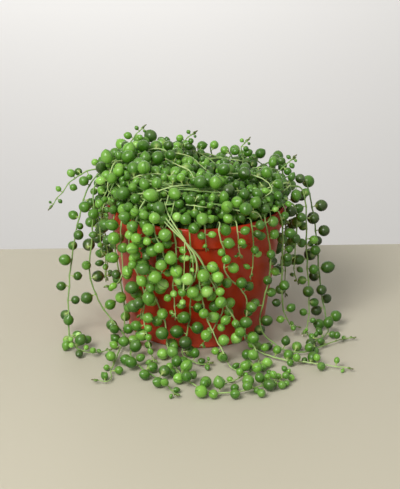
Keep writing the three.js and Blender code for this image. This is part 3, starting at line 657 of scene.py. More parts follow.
# Where leaves crowd round a strand: its name, the middle as angle, radius and height, how far they lie
# from it along each axis, how many places are tried, their usual radius and how light they are
CROWDS = [
    ("strand_left_outer", (-149, 91, 7), (7.5, 7.5, 3.4), 220, 3.0, 1.1),
    ("strand_front_left_2", (-73, 115, 3), (9, 9, 4), 30, 2.7, 0.6),
    ("strand_front_left_2", (-63, 109, 3), (10, 10, 4), 45, 2.8, 0.5),
    ("strand_right_outer", (-24, 88, 3.5), (6, 6, 3), 20, 2.8, 0.6),
    ("strand_front_left_2", (-123, 67, 74), (8, 5, 12), 150, 3.7, 0.5),
    ("strand_front_left_3", (-111, 69, 72), (9, 5, 14), 260, 3.8, 0.5),
    ("strand_front_left_4", (-103, 65, 64), (8, 4, 14), 150, 3.6, 0.5),
    ("spray_front", (-97, 68, 60), (8, 4, 12), 120, 3.6, 0.6),
]
CROWD = {"size": (0.7, 0.5), "apart": 0.2, "overlap": 0.06}


def lowest_reach(radius, length, point, way):
    """How far a leaf reaches below its middle."""
    body = radius * math.sqrt(1 + (length**2 - 1) * way[2] ** 2)
    return body + POINT_END * radius * point * max(0, -way[2])


def leaf(rng, centre, foot, radius, shade, taper=1.0, stray=STRAY):
    """One leaf with its own small differences; the young ones near a tip are slimmer and lighter."""
    way = unit(unit(centre - foot) + stray * rng.normal(size=3))
    young = 1 - taper
    radius = min(LARGEST, radius * FINE_SHARE) * (1 - YOUNG["slimmer"] * young)
    if centre[2] < ON_TABLE["height"]:
        radius *= ON_TABLE["size"]
        shade += ON_TABLE["share"] * (ON_TABLE["shade"] - shade)
    length = LENGTH["usual"] + LENGTH["spread"] * rng.normal() + YOUNG["length"] * young
    point = POINT["least"] + POINT["spread"] * rng.random() + POINT["sharp"] * rng.random() ** 4
    point += YOUNG["point"] * young
    raised = max(0, lowest_reach(radius, length, point, way) - centre[2])
    spin = 2 * math.pi * rng.random()
    shade = shade + SHADE_SPREAD * rng.normal() * (1 - young) + YOUNG["shade"] * young
    return {
        "centre": centre + [0, 0, raised],
        "foot": foot,
        "radius": radius,
        "length": length,
        "point": point,
        "spin": spin,
        "way": way,
        "tint": (shade, rng.random(), 0),
    }


def grown(rng, pearls, shade):
    """The leaves in the places of pearls, as light as a function says for their middles."""
    return [leaf(rng, p["centre"], p["foot"], p["radius"], shade(p["centre"]), p["taper"]) for p in pearls]


def bell(distances, width):
    return np.exp(-((distances / width) ** 2))


def add_stem(shape, path, pearls, rng, shade, tip=True):
    """A stem that bends a little at each leaf, thins towards its tip and ends in small buds."""
    marks = marks_of(path)
    grid = np.linspace(0, marks[-1], max(4, int(marks[-1] / STEM_GRAIN)))
    fine = np.stack([np.interp(grid, marks, path[:, axis]) for axis in range(3)], axis=1)
    thinned = np.clip((grid - marks[-1] + THINNING["over"]) / THINNING["over"], 0, 1)
    radii = FINE_STEM * (1 - THINNING["share"] * thinned * tip)
    for pearl in pearls:
        near = bell(grid - pearl["s"], KNEE["length"])
        fine -= KNEE["bend"] * near[:, None] * unit(pearl["centre"] - pearl["foot"])
        radii += KNOT["radius"] * bell(grid - pearl["s"], KNOT["length"])
    add_tube(shape, fine, radii, STEM_SLOT, (shade, rng.random(), 0))
    if tip:
        add_leaves(shape, buds(fine, rng), BUDS["sides"])


def buds(path, rng):
    """Small pointed leaves at the end of a stem, brownest at the very end."""
    end, along = path[-1], unit(path[-1] - path[-3])
    sideways = unit(np.cross(along, [0.2, 0.3, 0.9]))
    made = []
    for i in range(BUDS["count"]):
        foot = end - along * BUDS["apart"] * i
        lean = along + sideways * (BUDS["lean"] if i % 2 else -BUDS["lean"]) * (i > 0)
        radius = BUDS["radius"] + BUDS["more"] * i
        centre = foot + unit(lean) * radius * BUDS["reach"]
        centre[2] = max(centre[2], radius)
        bud = leaf(rng, centre, foot, radius, BUD_LOOK["shade"], stray=BUD_LOOK["stray"])
        brown, less = BUD_LOOK["brown"]
        tint = (BUD_LOOK["shade"], BUD_LOOK["wax"], brown - less * i)
        made.append({**bud, "length": BUD_LOOK["length"], "point": BUD_LOOK["point"], "tint": tint})
    return made


def filled_in(path, pearls, owner, hanging, lying, rng, taken):
    """The pearls of a stem, with smaller ones on a share of the gaps between them."""
    marks = marks_of(path)
    more = []
    for before, after in zip(pearls, pearls[1:]):
        height = before["centre"][2]
        share = lying if height < 2 * PEARL_RADIUS else hanging * (1 if height > HALF_HEIGHT else THINNED)
        if after["s"] < before["s"] or before["taper"] < FULL or rng.random() > share:
            continue
        for part in FILL["places" if share < 1 else "more_places"]:
            s = before["s"] + (after["s"] - before["s"]) * part
            radius = upto(rng.random, *FILL["size"]) * min(before["radius"], after["radius"])
            point, along = place_at(path, marks, s)
            for _ in range(TRIES):
                way = unit(np.cross(along, rng.normal(size=3)))
                centre = point + way * (radius + FINE_STEM + FILL["off"])
                if centre[2] < radius + RESTING:
                    centre[2] = radius
                if taken.take(centre, radius, owner, apart=FILL["apart"]):
                    more.append({**before, "centre": centre, "radius": radius, "foot": point, "s": s})
                    break
    return pearls + more


# The neck of the bundle: how many stems, from what share of it they are seen, how far apart and how deep
# in the crown they start, and the way in which they lie side by side
NECK_STEMS = 3
NECK_SEEN = 0.36
NECK_SHIFT = np.array([-8.0, -1, -5])  # of their upper ends
NECK_APART = {"ends": 0.5, "spread": 4, "way": [0.9, -0.3, 0.3]}
NECK_SUNK = 7


def neck_stems(path):
    """The neck of the bundle as stems that run side by side and meet where they fan out."""
    share = marks_of(path) / marks_of(path)[-1]
    seen = share > NECK_SEEN
    left = (1 - share[seen][:, None]) / (1 - NECK_SEEN)
    path = path[seen] + NECK_SHIFT * left**2
    inward = unit(np.array([0, 0, CROWN["waist"]]) - path[0])
    for i in range(NECK_STEMS):
        across = (i - 1) * (NECK_APART["ends"] + NECK_APART["spread"] * left)
        yield path + across * NECK_APART["way"] + NECK_SUNK * inward * np.maximum(0, 2 * left - 1) ** 2


def crowd(strand, path, taken, rng):
    """Leaves that crowd round a place on a strand."""
    leaves = []
    for name, middle, reach, tries, usual, shade in CROWDS:
        for _ in range(tries if name == strand["name"] else 0):
            centre = polar(*middle) + 2 * (rng.random(3) - 0.5) * reach
            radius = usual * upto(rng.random, *CROWD["size"])
            centre[2] = max(centre[2], radius)
            if taken.take(centre, radius, name, apart=CROWD["apart"], overlap=CROWD["overlap"]):
                nearest = path[np.linalg.norm(path - centre, axis=1).argmin()]
                leaves.append(leaf(rng, centre, nearest, radius, shade))
    return leaves


def strand_piece(strand, taken, materials, rng):
    shape = Shape()
    name, paths, bearing = strand["name"], strand["stems"], strand["bearing"]
    looks = next(row[1:] for row in LOOKS if name.startswith(row[0]))
    leaf_shade, stem_shade, hanging, lying = looks
    for neck in paths[: -len(bearing)]:
        for path in neck_stems(neck):
            add_stem(shape, path, [], rng, stem_shade, tip=False)
    leaves = []
    for stem in bearing:
        pearls = filled_in(stem["path"], stem["pearls"], name, hanging, lying, rng, taken)
        add_stem(shape, stem["path"], pearls, rng, stem_shade)
        leaves += grown(rng, pearls, lambda _: leaf_shade)
    leaves += crowd(strand, paths[0], taken, rng)
    add_leaves(shape, leaves)
    piece = shape.piece("leaves_" + strand["name"], materials)
    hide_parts(strand["name"])
    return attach(piece, "root")


# Stems that creep over the crown where the viewer sees them, by the angle and tilt of their points
CREEPERS = [
    [[-175, 36], [-165, 50], [-157, 62], [-153, 78], [-156, 92]],
    [[167, 33], [158, 18], [149, 10], [113, 5], [50, 5]],
    [[154, 14], [-136, 8], [-101, 13], [-88, 25]],
    [[-145, 58], [-135, 46], [-126, 34], [-117, 18]],
    [[-135, 77], [-119, 64], [-103, 44], [-88, 26]],
    [[-80, 25], [-49, 16], [-23, 28], [-26, 44], [-35, 60], [-41, 72]],
    [[-97, 76], [-88, 76], [-80, 80]],
    [[-72, 78], [-63, 86], [-53, 91], [-46, 104], [-38, 112]],
    [[-24, 52], [-15, 62], [-11, 70], [-16, 80]],
]
CREEPER_LIFT = (3, 9)  # height above the core at the two ends of a stem, and between them
CREEPER_RULE = {"gap": (9, 8), "size": 1.18, "bare": 4}
OTHER_CREEPERS = {
    "count": 30,
    "lift": (1, 4.5),
    "start": (8, 75),  # tilt from the top
    "steps": (3, 3),
    "shade": (0.3, 0.6),
    "pace": 11,
    "heading": 70,
    "turn": 25,
    "tilts": (6, 104),
    "innermost": 12,  # radius inside which the angle isn't turned faster
}

# Short strands that hang from the crown's edge over the rim: from, to, how many, and how low they reach
CURTAINS = [(-168, -144, 2, 84), (-134, -100, 4, 84), (-60, -20, 2, 85), (45, 150, 9, 80)]
CURTAIN_RULE = {"gap": (6, 6), "size": 1.05, "bare": 3}
CURTAIN = {"lift": 3.5, "tilts": (62, 76), "radius": (63.5, 4), "sway": 4, "uneven": 8, "shade": (0.4, 0.4)}
CURTAIN_HEIGHTS = (96, 90)  # that it passes on its way down

# The leaves between the stems, in the order in which they are placed: their usual radius, how many places
# are tried, and where. A layer has one height above the core. Where the crown swells over the rim, and in the
# gaps that this leaves at the front, there are an angle, a radius and a height, each from and to.
FILLING = [
    (4.3, 7000, -1.0),
    (4.3, 10000, 2.8),
    (4.0, 6000, ((-127, -108), (60, 76), (83, 102))),
    (3.6, 2500, ((-108, -86), (58, 68), (86, 98))),
    (3.8, 3000, ((-124, -106), (64, 77), (76, 92))),
    (3.7, 1500, ((-170, -126), (57, 66), (88, 98))),
    (3.1, 4000, ((-86, -5), (53, 60), (91, 95))),
    (4.0, 9000, 6.0),
    (3.5, 6000, 4.0),
    (3.1, 4000, 1.5),
    (3.7, 700, ((-115, -89), (51, 58), (96, 107))),
    (2.7, 1500, ((-118, -86), (50, 58), (94, 108))),
    (2.7, 5000, 2.2),
]
SCATTER = {"size": (0.75, 0.45), "overlap": 0.08, "stray": 0.9, "foot": 1.6}
LAYER_APART = 0.3
LAYER_SPREAD = 1.0
LAYER_REACH = 1.44  # how far down the layers go, from 0 at the top to 2 at the bottom of a ball
FLATTER = 0.8  # by how much of their height the layers are lower on the side away from the hump
LOWEST_TILT = 118
LOBE_MIDDLE = 50  # radius towards which the leaves that swell over the rim grow
# Where the crown is lower than its core was made: by how much, round which angle and within how far of
# it, from which tilt on in full, and between which tilts this ends
HOLLOW = {"depth": 9, "angle": 68, "width": 46, "full": 22, "fade": (70, 88)}
DRY = {"share": 0.003, "tint": (0.2, 0.5, 0.85)}  # brown leaves
# How light the leaves are, by how much and over what distance that changes, and how much darker they are
# painted towards the right, as painted shade on the side away from the key light
CROWN_SHADE = {"usual": 0.43, "change": 0.26, "patch": 12, "right": 0.14, "across": 60}
CROWN_PARTS = {"front_left": 225, "front_right": 315, "back_right": 45, "back_left": 135}


def layer_height(angle, tilt, height):
    """The height of a layer above the core there."""
    towards = sine(tilt) * cosine(angle - CROWN["hump_angle"])
    return height * (1 - FLATTER * (0.5 - 0.5 * towards))


def hollow(angle, tilt):
    """How much lower than its core the crown is there."""
    off = angle_between(angle, HOLLOW["angle"])
    first, last = HOLLOW["fade"]
    share = math.exp(-((off / HOLLOW["width"]) ** 2)) * min(1, tilt / HOLLOW["full"])
    return HOLLOW["depth"] * share * min(1, max(0, (last - tilt) / (last - first)))


def creeper(places, lifts):
    """A stem over the crown through angle and tilt pairs."""
    last = len(places) - 1
    heights = [lifts[0 if i in (0, last) else 1] - hollow(*places[i]) for i in range(last + 1)]
    return path_through([over_crown(angle, tilt, height) for (angle, tilt), height in zip(places, heights)])


def wandering(rng):
    """Angle and tilt pairs of a stem that wanders outwards over the crown."""
    rule = OTHER_CREEPERS
    angle, tilt = 360 * rng.random(), upto(rng.random, *rule["start"])
    heading = rule["heading"] * rng.normal()
    least, most = rule["tilts"]
    places = [(angle, tilt)]
    for _ in range(int(upto(rng.random, *rule["steps"]))):
        radius, _ = crown_point(angle, tilt)
        angle += math.degrees(rule["pace"] * sine(heading) / max(radius, rule["innermost"]))
        tilt = min(most, max(least, tilt + rule["pace"] * cosine(heading)))
        heading += rule["turn"] * rng.normal()
        places.append((angle, tilt))
    return places


def curtain_stem(angle, lowest, rng):
    """A short stem from the crown's edge over the rim."""
    hang = upto(rng.random, *CURTAIN["radius"])
    sway = CURTAIN["sway"] * rng.normal()
    end = lowest + CURTAIN["uneven"] * (rng.random() - 0.5)
    start = [over_crown(angle, tilt, CURTAIN["lift"]) for tilt in CURTAIN["tilts"]]
    upper, lower = CURTAIN_HEIGHTS
    fall = [(angle, hang - 2, upper), (angle + sway / 2, hang, lower), (angle + sway, hang, end)]
    return path_through([*start, *fall])


def crown_stems(rng, taken):
    """The stems on the crown, their pearls and how light they are."""
    stems = [(creeper(places, CREEPER_LIFT), CREEPER_RULE, 1.0) for places in CREEPERS]
    for _ in range(OTHER_CREEPERS["count"]):
        path = creeper(wandering(rng), OTHER_CREEPERS["lift"])
        stems.append((path, CREEPER_RULE, upto(rng.random, *OTHER_CREEPERS["shade"])))
    for first, last, count, lowest in CURTAINS:
        for i in range(count):
            angle = first + (last - first) * (i + rng.random()) / count
            path = curtain_stem(angle, lowest, rng)
            stems.append((path, CURTAIN_RULE, upto(rng.random, *CURTAIN["shade"])))
    for path, _, _ in stems:
        taken.follow(path, FINE_STEM, "crown")
    return [
        (path, pearls_along({**rule, "path": path}, "crown", rng.random, taken), shade)
        for path, rule, shade in stems
    ]


def between(rng, limits):
    return limits[0] + (limits[1] - limits[0]) * rng.random()


def in_layer(rng, height):
    """A place in a layer of the crown, and the way in from there."""
    angle, tilt = 360 * rng.random(), math.degrees(math.acos(1 - LAYER_REACH * rng.random()))
    tilt = min(tilt, LOWEST_TILT)
    lift = layer_height(angle, tilt, height + LAYER_SPREAD * rng.normal()) - hollow(angle, tilt)
    centre = polar(*over_crown(angle, tilt, lift))
    return centre, polar(*over_crown(angle, tilt, lift - 1)) - centre


def in_lobe(rng, lobe):
    """A place between limits of angle, radius and height, and the way in from there."""
    angle, radius, height = (between(rng, limits) for limits in lobe)
    centre = polar(angle, radius, height)
    return centre, polar(angle, LOBE_MIDDLE, CROWN["waist"]) - centre


def loose_leaves(rng, taken):
    """The leaves that fill the crown between its stems."""
    leaves = []
    for usual, tries, where in FILLING:
        place, apart = (in_layer, LAYER_APART) if isinstance(where, float) else (in_lobe, 0)
        for _ in range(tries):
            centre, inward = place(rng, where)
            radius = usual * upto(rng.random, *SCATTER["size"])
            if not taken.take(centre, radius, "crown", apart, SCATTER["overlap"], clear_of_rim):
                continue
            way = unit(unit(inward) + SCATTER["stray"] * rng.normal(size=3))
            foot = centre + way * (radius + SCATTER["foot"])
            leaves.append(leaf(rng, centre, foot, radius, crown_shade(centre)))
            if rng.random() < DRY["share"]:
                leaves[-1]["tint"] = DRY["tint"]
    return leaves


def crown_shade(centre):
    """How light the leaves are, which changes slowly from place to place, with painted shade that makes them
    darker towards the right.
    """
    rule = CROWN_SHADE
    patches = rule["change"] * noise.noise(Vector(centre) / rule["patch"])
    # Painted shade: the leaves are darker towards the right, away from the key light
    return rule["usual"] + patches - rule["right"] * max(0, centre[0] / rule["across"])


# The leaves on the free end of a tip of the crown, by their share of its length, their radius and side
TIP_LEAVES = [(0.6, 3.0, -1), (0.68, 2.8, 1), (0.79, 2.1, -1), (0.88, 1.6, 1), (0.95, 1.1, -1)]
TIP_RULE = {"off": 0.6, "taper": 0.95, "before": 3, "shade": 0.5}


def tip_leaves(path, pearls, taken):
    """The leaves of a tip: the model's low down, and others left and right of its free end."""
    marks = marks_of(path)
    first = TIP_LEAVES[0][0] * marks[-1] - TIP_RULE["before"]
    leaves = [pearl for pearl in pearls if pearl["s"] < first]
    for share, radius, side in TIP_LEAVES:
        s = share * marks[-1]
        point, along = place_at(path, marks, s)
        across = unit(np.cross(along, [0.2, 1, 0.1]))
        centre = point + side * (radius + FINE_STEM + TIP_RULE["off"]) * across
        taken.add(centre, radius, "crown")
        item = {"centre": centre, "radius": radius, "foot": point, "s": s}
        leaves.append({**item, "taper": TIP_RULE["taper"]})
    return leaves


def crown_pieces(sprigs, taken, materials, rng):
    stems = [(path, tip_leaves(path, pearls, taken), TIP_RULE["shade"]) for path, pearls in sprigs]
    stems += crown_stems(rng, taken)
    loose = loose_leaves(rng, taken)
    for part, middle in CROWN_PARTS.items():
        near = lambda spot: abs(angle_between(angle_of(spot), middle)) <= 180 / len(CROWN_PARTS)
        shape = Shape()
        leaves = [item for item in loose if near(item["centre"])]
        for path, pearls, shade in stems:
            if near(path[len(path) // 2]):
                add_stem(shape, path, pearls, rng, shade)
                leaves += grown(rng, pearls, crown_shade)
        add_leaves(shape, leaves)
        piece = shape.piece("crown_" + part, materials)
        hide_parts("crown")
        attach(piece, "root")


MAT = {"inset": 1.4, "inset_to": 100, "sides": 160, "rings": 48, "from": 4}
MAT_ROUGHNESS = {"depth": 1.4, "coarse": 3.1, "fine": 1.3, "fine_share": 0.6}


def crown_shade_mat(material):
    """The mat of stems under the leaves, painted much darker than the stems as painted shade deep among the
    leaves.
    """
    shape = Shape()
    rough = MAT_ROUGHNESS
    rings = []
    for tilt in np.linspace(MAT["from"], CROWN["tilts"][-1], MAT["rings"]):
        for i in range(MAT["sides"]):
            angle = 360 * i / MAT["sides"]
            lift = -MAT["inset"] * (tilt < MAT["inset_to"]) - hollow(angle, tilt)
            spot = polar(*over_crown(angle, tilt, lift))
            fine = rough["fine_share"] * noise.noise(Vector(spot) / rough["fine"])
            out = noise.noise(Vector(spot) / rough["coarse"]) + fine
            rings.append(spot * (1 + rough["depth"] * out / np.linalg.norm(spot)))
    top = polar(0, 0, crown_point(0, 0)[1] - MAT["inset"])
    bottom = polar(0, 0, SOIL_TOP + CLEARANCE)
    shape.add([*rings[::-1], bottom, top], ringed_faces(MAT["rings"], MAT["sides"]))
    piece = shape.piece("crown_shade_mat", [material])
    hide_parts("crown")
    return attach(piece, "root")


def filleted(outline, radius, steps):
    """The outline with each corner off the axis turned into a short arc."""
    points = [np.array(point, float) for point in outline]
    rounded = [points[0]]
    for before, corner, after in zip(points, points[1:], points[2:]):
        back, forth = before - corner, after - corner
        reach = min(radius, FILLET_SHARE * np.linalg.norm(back), FILLET_SHARE * np.linalg.norm(forth))
        start, end = corner + unit(back) * reach, corner + unit(forth) * reach
        for t in np.linspace(0, 1, steps):
            rounded.append((1 - t) ** 2 * start + 2 * t * (1 - t) * corner + t**2 * end)
    return [*rounded, points[-1]]


def lathed(outline, sides):
    """Points and faces of an outline turned round the axis, which it starts and ends on."""
    inner = outline[1:-1]
    turns = np.linspace(0, 2 * math.pi, sides, endpoint=False)
    rings = [(r * math.cos(t), r * math.sin(t), z) for r, z in inner for t in turns]
    ends = [(0, 0, outline[0][1]), (0, 0, outline[-1][1])]
    return np.array([*rings, *ends], float), ringed_faces(len(inner), sides)


def pot_piece(material):
    shape = Shape()
    shape.add(*lathed(filleted(pot_outline(), FILLET, FILLET_STEPS), POT_SIDES))
    pot = shape.piece("nursery_pot", [material])
    drill = Shape()
    radius, low, top = DRAIN["radius"], DRAIN["below"], 2 * FLOOR
    for i in range(DRAIN["count"]):
        x, y, _ = polar(360 * i / DRAIN["count"], DRAIN["circle"], 0)
        points, faces = lathed([(0, low), (radius, low), (radius, top), (0, top)], DRAIN["sides"])
        drill.add(points + [x, y, 0], faces)
    cutter = drill.piece("drill", [material])
    cut = pot.modifiers.new("drain_holes", "BOOLEAN")
    cut.operation, cut.object, cut.solver = "DIFFERENCE", cutter, "EXACT"
    bpy.context.view_layer.objects.active = pot
    bpy.ops.object.modifier_apply(modifier=cut.name)
    bpy.data.objects.remove(cutter)
    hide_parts("pot")
    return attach(pot, "root")


SOIL_RINGS = {"first": 2, "count": 60, "sides": 180}
SOIL_ROUGHNESS = {"height": 1.1, "grain": 2.2, "finer": 2.7, "fine_share": 0.5, "sunk": 0.5}
GRAINS = {"count": 900, "size": (0.35, 0.9), "from": 44, "within": 45, "sides": 6, "rings": (45, 90, 135)}
GRAIN_SHAPE = {"proud": 0.3, "flattest": 0.6, "spread": 0.8, "ragged": 0.25}


def soil_piece(material, rng):
    """The potting mix: a rough top with loose grains on it."""
    inset = WALL + CLEARANCE + SOIL_SLACK
    edge = COLLAR_RADIUS - inset - SOIL_EDGE
    rings = [
        *((r, SOIL_TOP) for r in np.linspace(SOIL_RINGS["first"], edge, SOIL_RINGS["count"])),
        (COLLAR_RADIUS - inset, SOIL_TOP - SOIL_EDGE),
        (BODY_TOP_RADIUS - inset, POT_HEIGHT - BAND_HEIGHT),
        (BASE_RADIUS - inset, FLOOR + CLEARANCE),
    ]
    points, faces = lathed([(0, SOIL_TOP), *rings, (0, FLOOR + CLEARANCE)], SOIL_RINGS["sides"])
    for point in points:
        if point[2] > SOIL_TOP - 0.1:
            spot = Vector(point) / SOIL_ROUGHNESS["grain"]
            fine = SOIL_ROUGHNESS["fine_share"] * noise.noise(spot * SOIL_ROUGHNESS["finer"])
            point[2] += SOIL_ROUGHNESS["height"] * (noise.noise(spot) + fine) - SOIL_ROUGHNESS["sunk"]
    shape = Shape()
    shape.add(points, faces[:, ::-1])
    step = 360 / GRAINS["sides"]
    ball = [
        [sine(ring) * cosine(step * turn), sine(ring) * sine(step * turn), -cosine(ring)]
        for ring in GRAINS["rings"]
        for turn in range(GRAINS["sides"])
    ]
    ball = np.array([*ball, [0, 0, -1], [0, 0, 1]])
    ball_faces = ringed_faces(len(GRAINS["rings"]), GRAINS["sides"])
    for _ in range(GRAINS["count"]):
        angle, radius = 360 * rng.random(), GRAINS["from"] + (edge - GRAINS["within"]) * rng.random()
        size = upto(lambda: rng.random() ** 2, *GRAINS["size"])
        middle = polar(angle, radius, SOIL_TOP + GRAIN_SHAPE["proud"] * size)
        squash = size * (GRAIN_SHAPE["flattest"] + GRAIN_SHAPE["spread"] * rng.random(3))
        ragged = 1 + GRAIN_SHAPE["ragged"] * rng.normal(size=(len(ball), 1))
        turned = np.linalg.qr(rng.normal(size=(3, 3)))[0]
        turned *= np.sign(np.linalg.det(turned))
        shape.add((ball * ragged * squash) @ turned + middle, ball_faces, tint=(rng.random(), 0, 0))
    piece = shape.piece("soil_bed", [material])
    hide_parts("soil")
    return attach(piece, "root")


class Skin:
    """A node material. Its methods add a node each and give what comes out of it."""

    def __init__(self, name):
        self.material = bpy.data.materials.new(name)
        self.material.use_nodes = True
        self.tree = self.material.node_tree
        self.shader = next(node for node in self.tree.nodes if node.type == "BSDF_PRINCIPLED")
        self.spot = self.add("TexCoord")[3]

    def put(self, value, socket):
        """Links what comes out of a node to a socket, or sets a plain value on it."""
        if isinstance(value, bpy.types.NodeSocket):
            self.tree.links.new(value, socket)
        else:
            socket.default_value = value

    def add(self, kind, inputs=(), **settings):
        """Adds a node with its settings, and with its inputs by number or by name."""
        node = self.tree.nodes.new("ShaderNode" + kind)
        for key, value in settings.items():
            setattr(node, key, value)
        for key, value in dict(inputs).items():
            self.put(value, node.inputs[key])
        return node.outputs

    def surface(self, **values):
        """Sets inputs of the shader, whose names have spaces for the underscores here."""
        for key, value in values.items():
            self.put(value, self.shader.inputs[key.replace("_", " ")])

    def grain(self, scale, detail, **more):
        inputs = {"Vector": self.spot, "Scale": scale, "Detail": detail, **more}
        return self.add("TexNoise", inputs)[0]

    def split(self, vector):
        return self.add("SeparateXYZ", {0: vector})

    def attribute(self, name):
        return self.split(self.add("Attribute", attribute_name=name)[1])

    def maths(self, operation, *values):
        return self.add("Math", dict(enumerate(values)), operation=operation)[0]

    def times(self, value, other):
        return self.maths("MULTIPLY", value, other)

    def rise(self, value, start, end):
        """From 0 to 1, smoothly, while a value goes from its start to its end."""
        return self.add("MapRange", {0: value, 1: start, 2: end}, interpolation_type="SMOOTHSTEP")[0]

    def gloss(self, grain, least, most):
        """Makes the surface rougher where the grain is lighter."""
        self.surface(Roughness=self.add("MapRange", {0: grain, 1: 0.3, 2: 0.7, 3: least, 4: most})[0])

    def mix(self, share, colour, other):
        return self.add("Mix", {0: share, 6: colour, 7: (*other, 1)}, data_type="RGBA")[2]

    def ramp(self, factor, stops):
        """A colour ramp through places and their colours."""
        node = self.tree.nodes.new("ShaderNodeValToRGB")
        self.put(factor, node.inputs[0])
        elements = node.color_ramp.elements
        for element, (place, colour) in zip(list(elements), (stops[0], stops[-1])):
            element.position = place
            element.color = (*colour, 1)
        for place, colour in stops[1:-1]:
            elements.new(place).color = (*colour, 1)
        return node.outputs[0]

    def bump(self, height, strength, distance):
        bumped = self.add("Bump", {"Strength": strength, "Distance": distance, "Height": height})[0]
        self.surface(Normal=bumped)


# Colours from dark to light, as places and colours, and what lies over them
LEAF_GREENS = [
    (0.0, (0.012, 0.036, 0.001)),
    (0.35, (0.040, 0.145, 0.004)),
    (0.7, (0.190, 0.435, 0.046)),
    (1.0, (0.450, 0.710, 0.220)),
]
# Painted light: the colour towards which the upper side of a leaf is painted lighter
PAINTED_SKY_LIGHT = (0.36, 0.58, 0.16)
WINDOW_GREEN = (0.030, 0.110, 0.020)
STALK_END = (0.34, 0.46, 0.13)
WAX = (0.30, 0.44, 0.20)
DRY_BROWN = (0.12, 0.075, 0.035)
STEM_GREENS = [(0.0, (0.07, 0.14, 0.03)), (0.5, (0.21, 0.36, 0.09)), (1.0, (0.43, 0.58, 0.23))]
# Painted shade: the mat is far darker than the stems, for the shade deep among the leaves
MAT_SHADE_GREENS = [(0.3, (0.012, 0.030, 0.004)), (0.55, (0.035, 0.080, 0.012)), (0.75, (0.080, 0.120, 0.030))]
POT_REDS = [(0.3, (0.44, 0.026, 0.004)), (0.7, (0.52, 0.036, 0.007))]
DUST = (0.42, 0.22, 0.14)
SOIL_BROWNS = [(0.35, (0.012, 0.008, 0.005)), (0.65, (0.045, 0.026, 0.015)), (0.95, (0.130, 0.075, 0.045))]


def leaf_material():
    skin = Skin("pearl_skin")
    lightness, waxiness, brownness = skin.attribute("tint")
    across, side, along = skin.attribute("place")
    mottle = skin.grain(scale=260, detail=3, Roughness=0.6)
    shade = skin.maths("ADD", lightness, skin.maths("MULTIPLY_ADD", mottle, 0.3, -0.15))
    colour = skin.ramp(shade, LEAF_GREENS)
    # Painted light: the upward-facing side is painted lighter, as if lit from above
    upward = skin.split(skin.add("NewGeometry")[1])[2]
    colour = skin.mix(skin.times(skin.rise(upward, start=-0.3, end=1), 0.14), colour, PAINTED_SKY_LIGHT)
    # The window: a darker, clearer stripe from the stalk to the point, on one side
    narrow = skin.rise(skin.maths("ABSOLUTE", across), start=0.16, end=0.04)
    window = skin.times(narrow, skin.rise(side, start=0, end=0.25))
    colour = skin.mix(skin.times(window, 0.55), colour, WINDOW_GREEN)
    # The stalk end is paler
    colour = skin.mix(skin.rise(along, start=-0.75, end=-1.15), colour, STALK_END)
    # Waxy bloom in patches
    patches = skin.rise(skin.grain(scale=120, detail=2), start=0.42, end=0.72)
    colour = skin.mix(skin.times(skin.times(patches, waxiness), 0.14), colour, WAX)
    # Brown tips
    skin.surface(Base_Color=skin.mix(brownness, colour, DRY_BROWN))
    skin.gloss(mottle, least=0.24, most=0.36)
    skin.surface(Subsurface_Weight=0.22, Subsurface_Radius=(0.35, 1.0, 0.12), Subsurface_Scale=0.002)
    skin.surface(Specular_IOR_Level=0.5)
    skin.bump(skin.grain(scale=1400, detail=2), strength=0.12, distance=0.0002)
    return skin.material


def stem_material():
    skin = Skin("stem_skin")
    mottle = skin.grain(scale=90, detail=4)
    shade = skin.maths("ADD", skin.attribute("tint")[0], skin.maths("MULTIPLY_ADD", mottle, 0.6, -0.3))
    skin.surface(Base_Color=skin.ramp(shade, STEM_GREENS), Roughness=0.5)
    skin.surface(Subsurface_Weight=0.12, Subsurface_Scale=0.001)
    skin.bump(skin.grain(scale=900, detail=2), strength=0.25, distance=0.0003)
    return skin.material


def mat_material():
    skin = Skin("stem_mat")
    tangle = skin.grain(scale=420, detail=4, Distortion=1.5)
    # Painted shade: the tangle is coloured far darker than the stems, for the shade among the leaves
    skin.surface(Base_Color=skin.ramp(tangle, MAT_SHADE_GREENS), Roughness=0.85)
    skin.bump(tangle, strength=0.8, distance=0.001)
    return skin.material


def pot_material():
    skin = Skin("pot_plastic")
    colour = skin.ramp(skin.grain(scale=22, detail=4), POT_REDS)
    # Dust and water marks gather near the foot
    low = skin.rise(skin.split(skin.spot)[2], start=0.02, end=0)
    specks = skin.grain(scale=160, detail=5)
    skin.surface(Base_Color=skin.mix(skin.times(skin.times(low, specks), 0.25), colour, DUST))
    skin.gloss(specks, least=0.28, most=0.4)
    skin.surface(Specular_IOR_Level=0.4)
    skin.bump(skin.grain(scale=800, detail=3), strength=0.1, distance=0.0003)
    return skin.material


def soil_material():
    skin = Skin("potting_mix")
    crumbs = skin.grain(scale=500, detail=6, Roughness=0.7)
    shade = skin.maths("MULTIPLY_ADD", skin.attribute("tint")[0], 0.3, crumbs)
    skin.surface(Base_Color=skin.ramp(shade, SOIL_BROWNS), Roughness=0.9)
    skin.bump(crumbs, strength=0.7, distance=0.0006)
    return skin.material


def stage_material(name, colour, roughness, scale):
    """A backdrop's plain colour with a faint grain."""
    skin = Skin(name)
    stops = [(0.3, tuple(GRAIN_SHADE * c for c in colour)), (0.7, colour)]
    skin.surface(Base_Color=skin.ramp(skin.grain(scale, detail=2), stops), Roughness=roughness)
    return skin.material


# Stage, in metres: a table whose far edge is just behind the pot, and a wall well behind it
TABLE = {"near": -2.2, "far": 0.141, "side": 2.6, "thick": 0.03, "turn": 2}
TABLE_LOOK = {"name": "table_top", "colour": (0.505, 0.472, 0.372), "roughness": 0.6, "scale": 3}
BACKDROP = {"at": 1.75, "side": 4, "high": 3, "thick": 0.02}
BACKDROP_LOOK = {"name": "wall_paint", "colour": (0.80, 0.79, 0.775), "roughness": 0.9, "scale": 1}
GRAIN_SHADE = 0.985
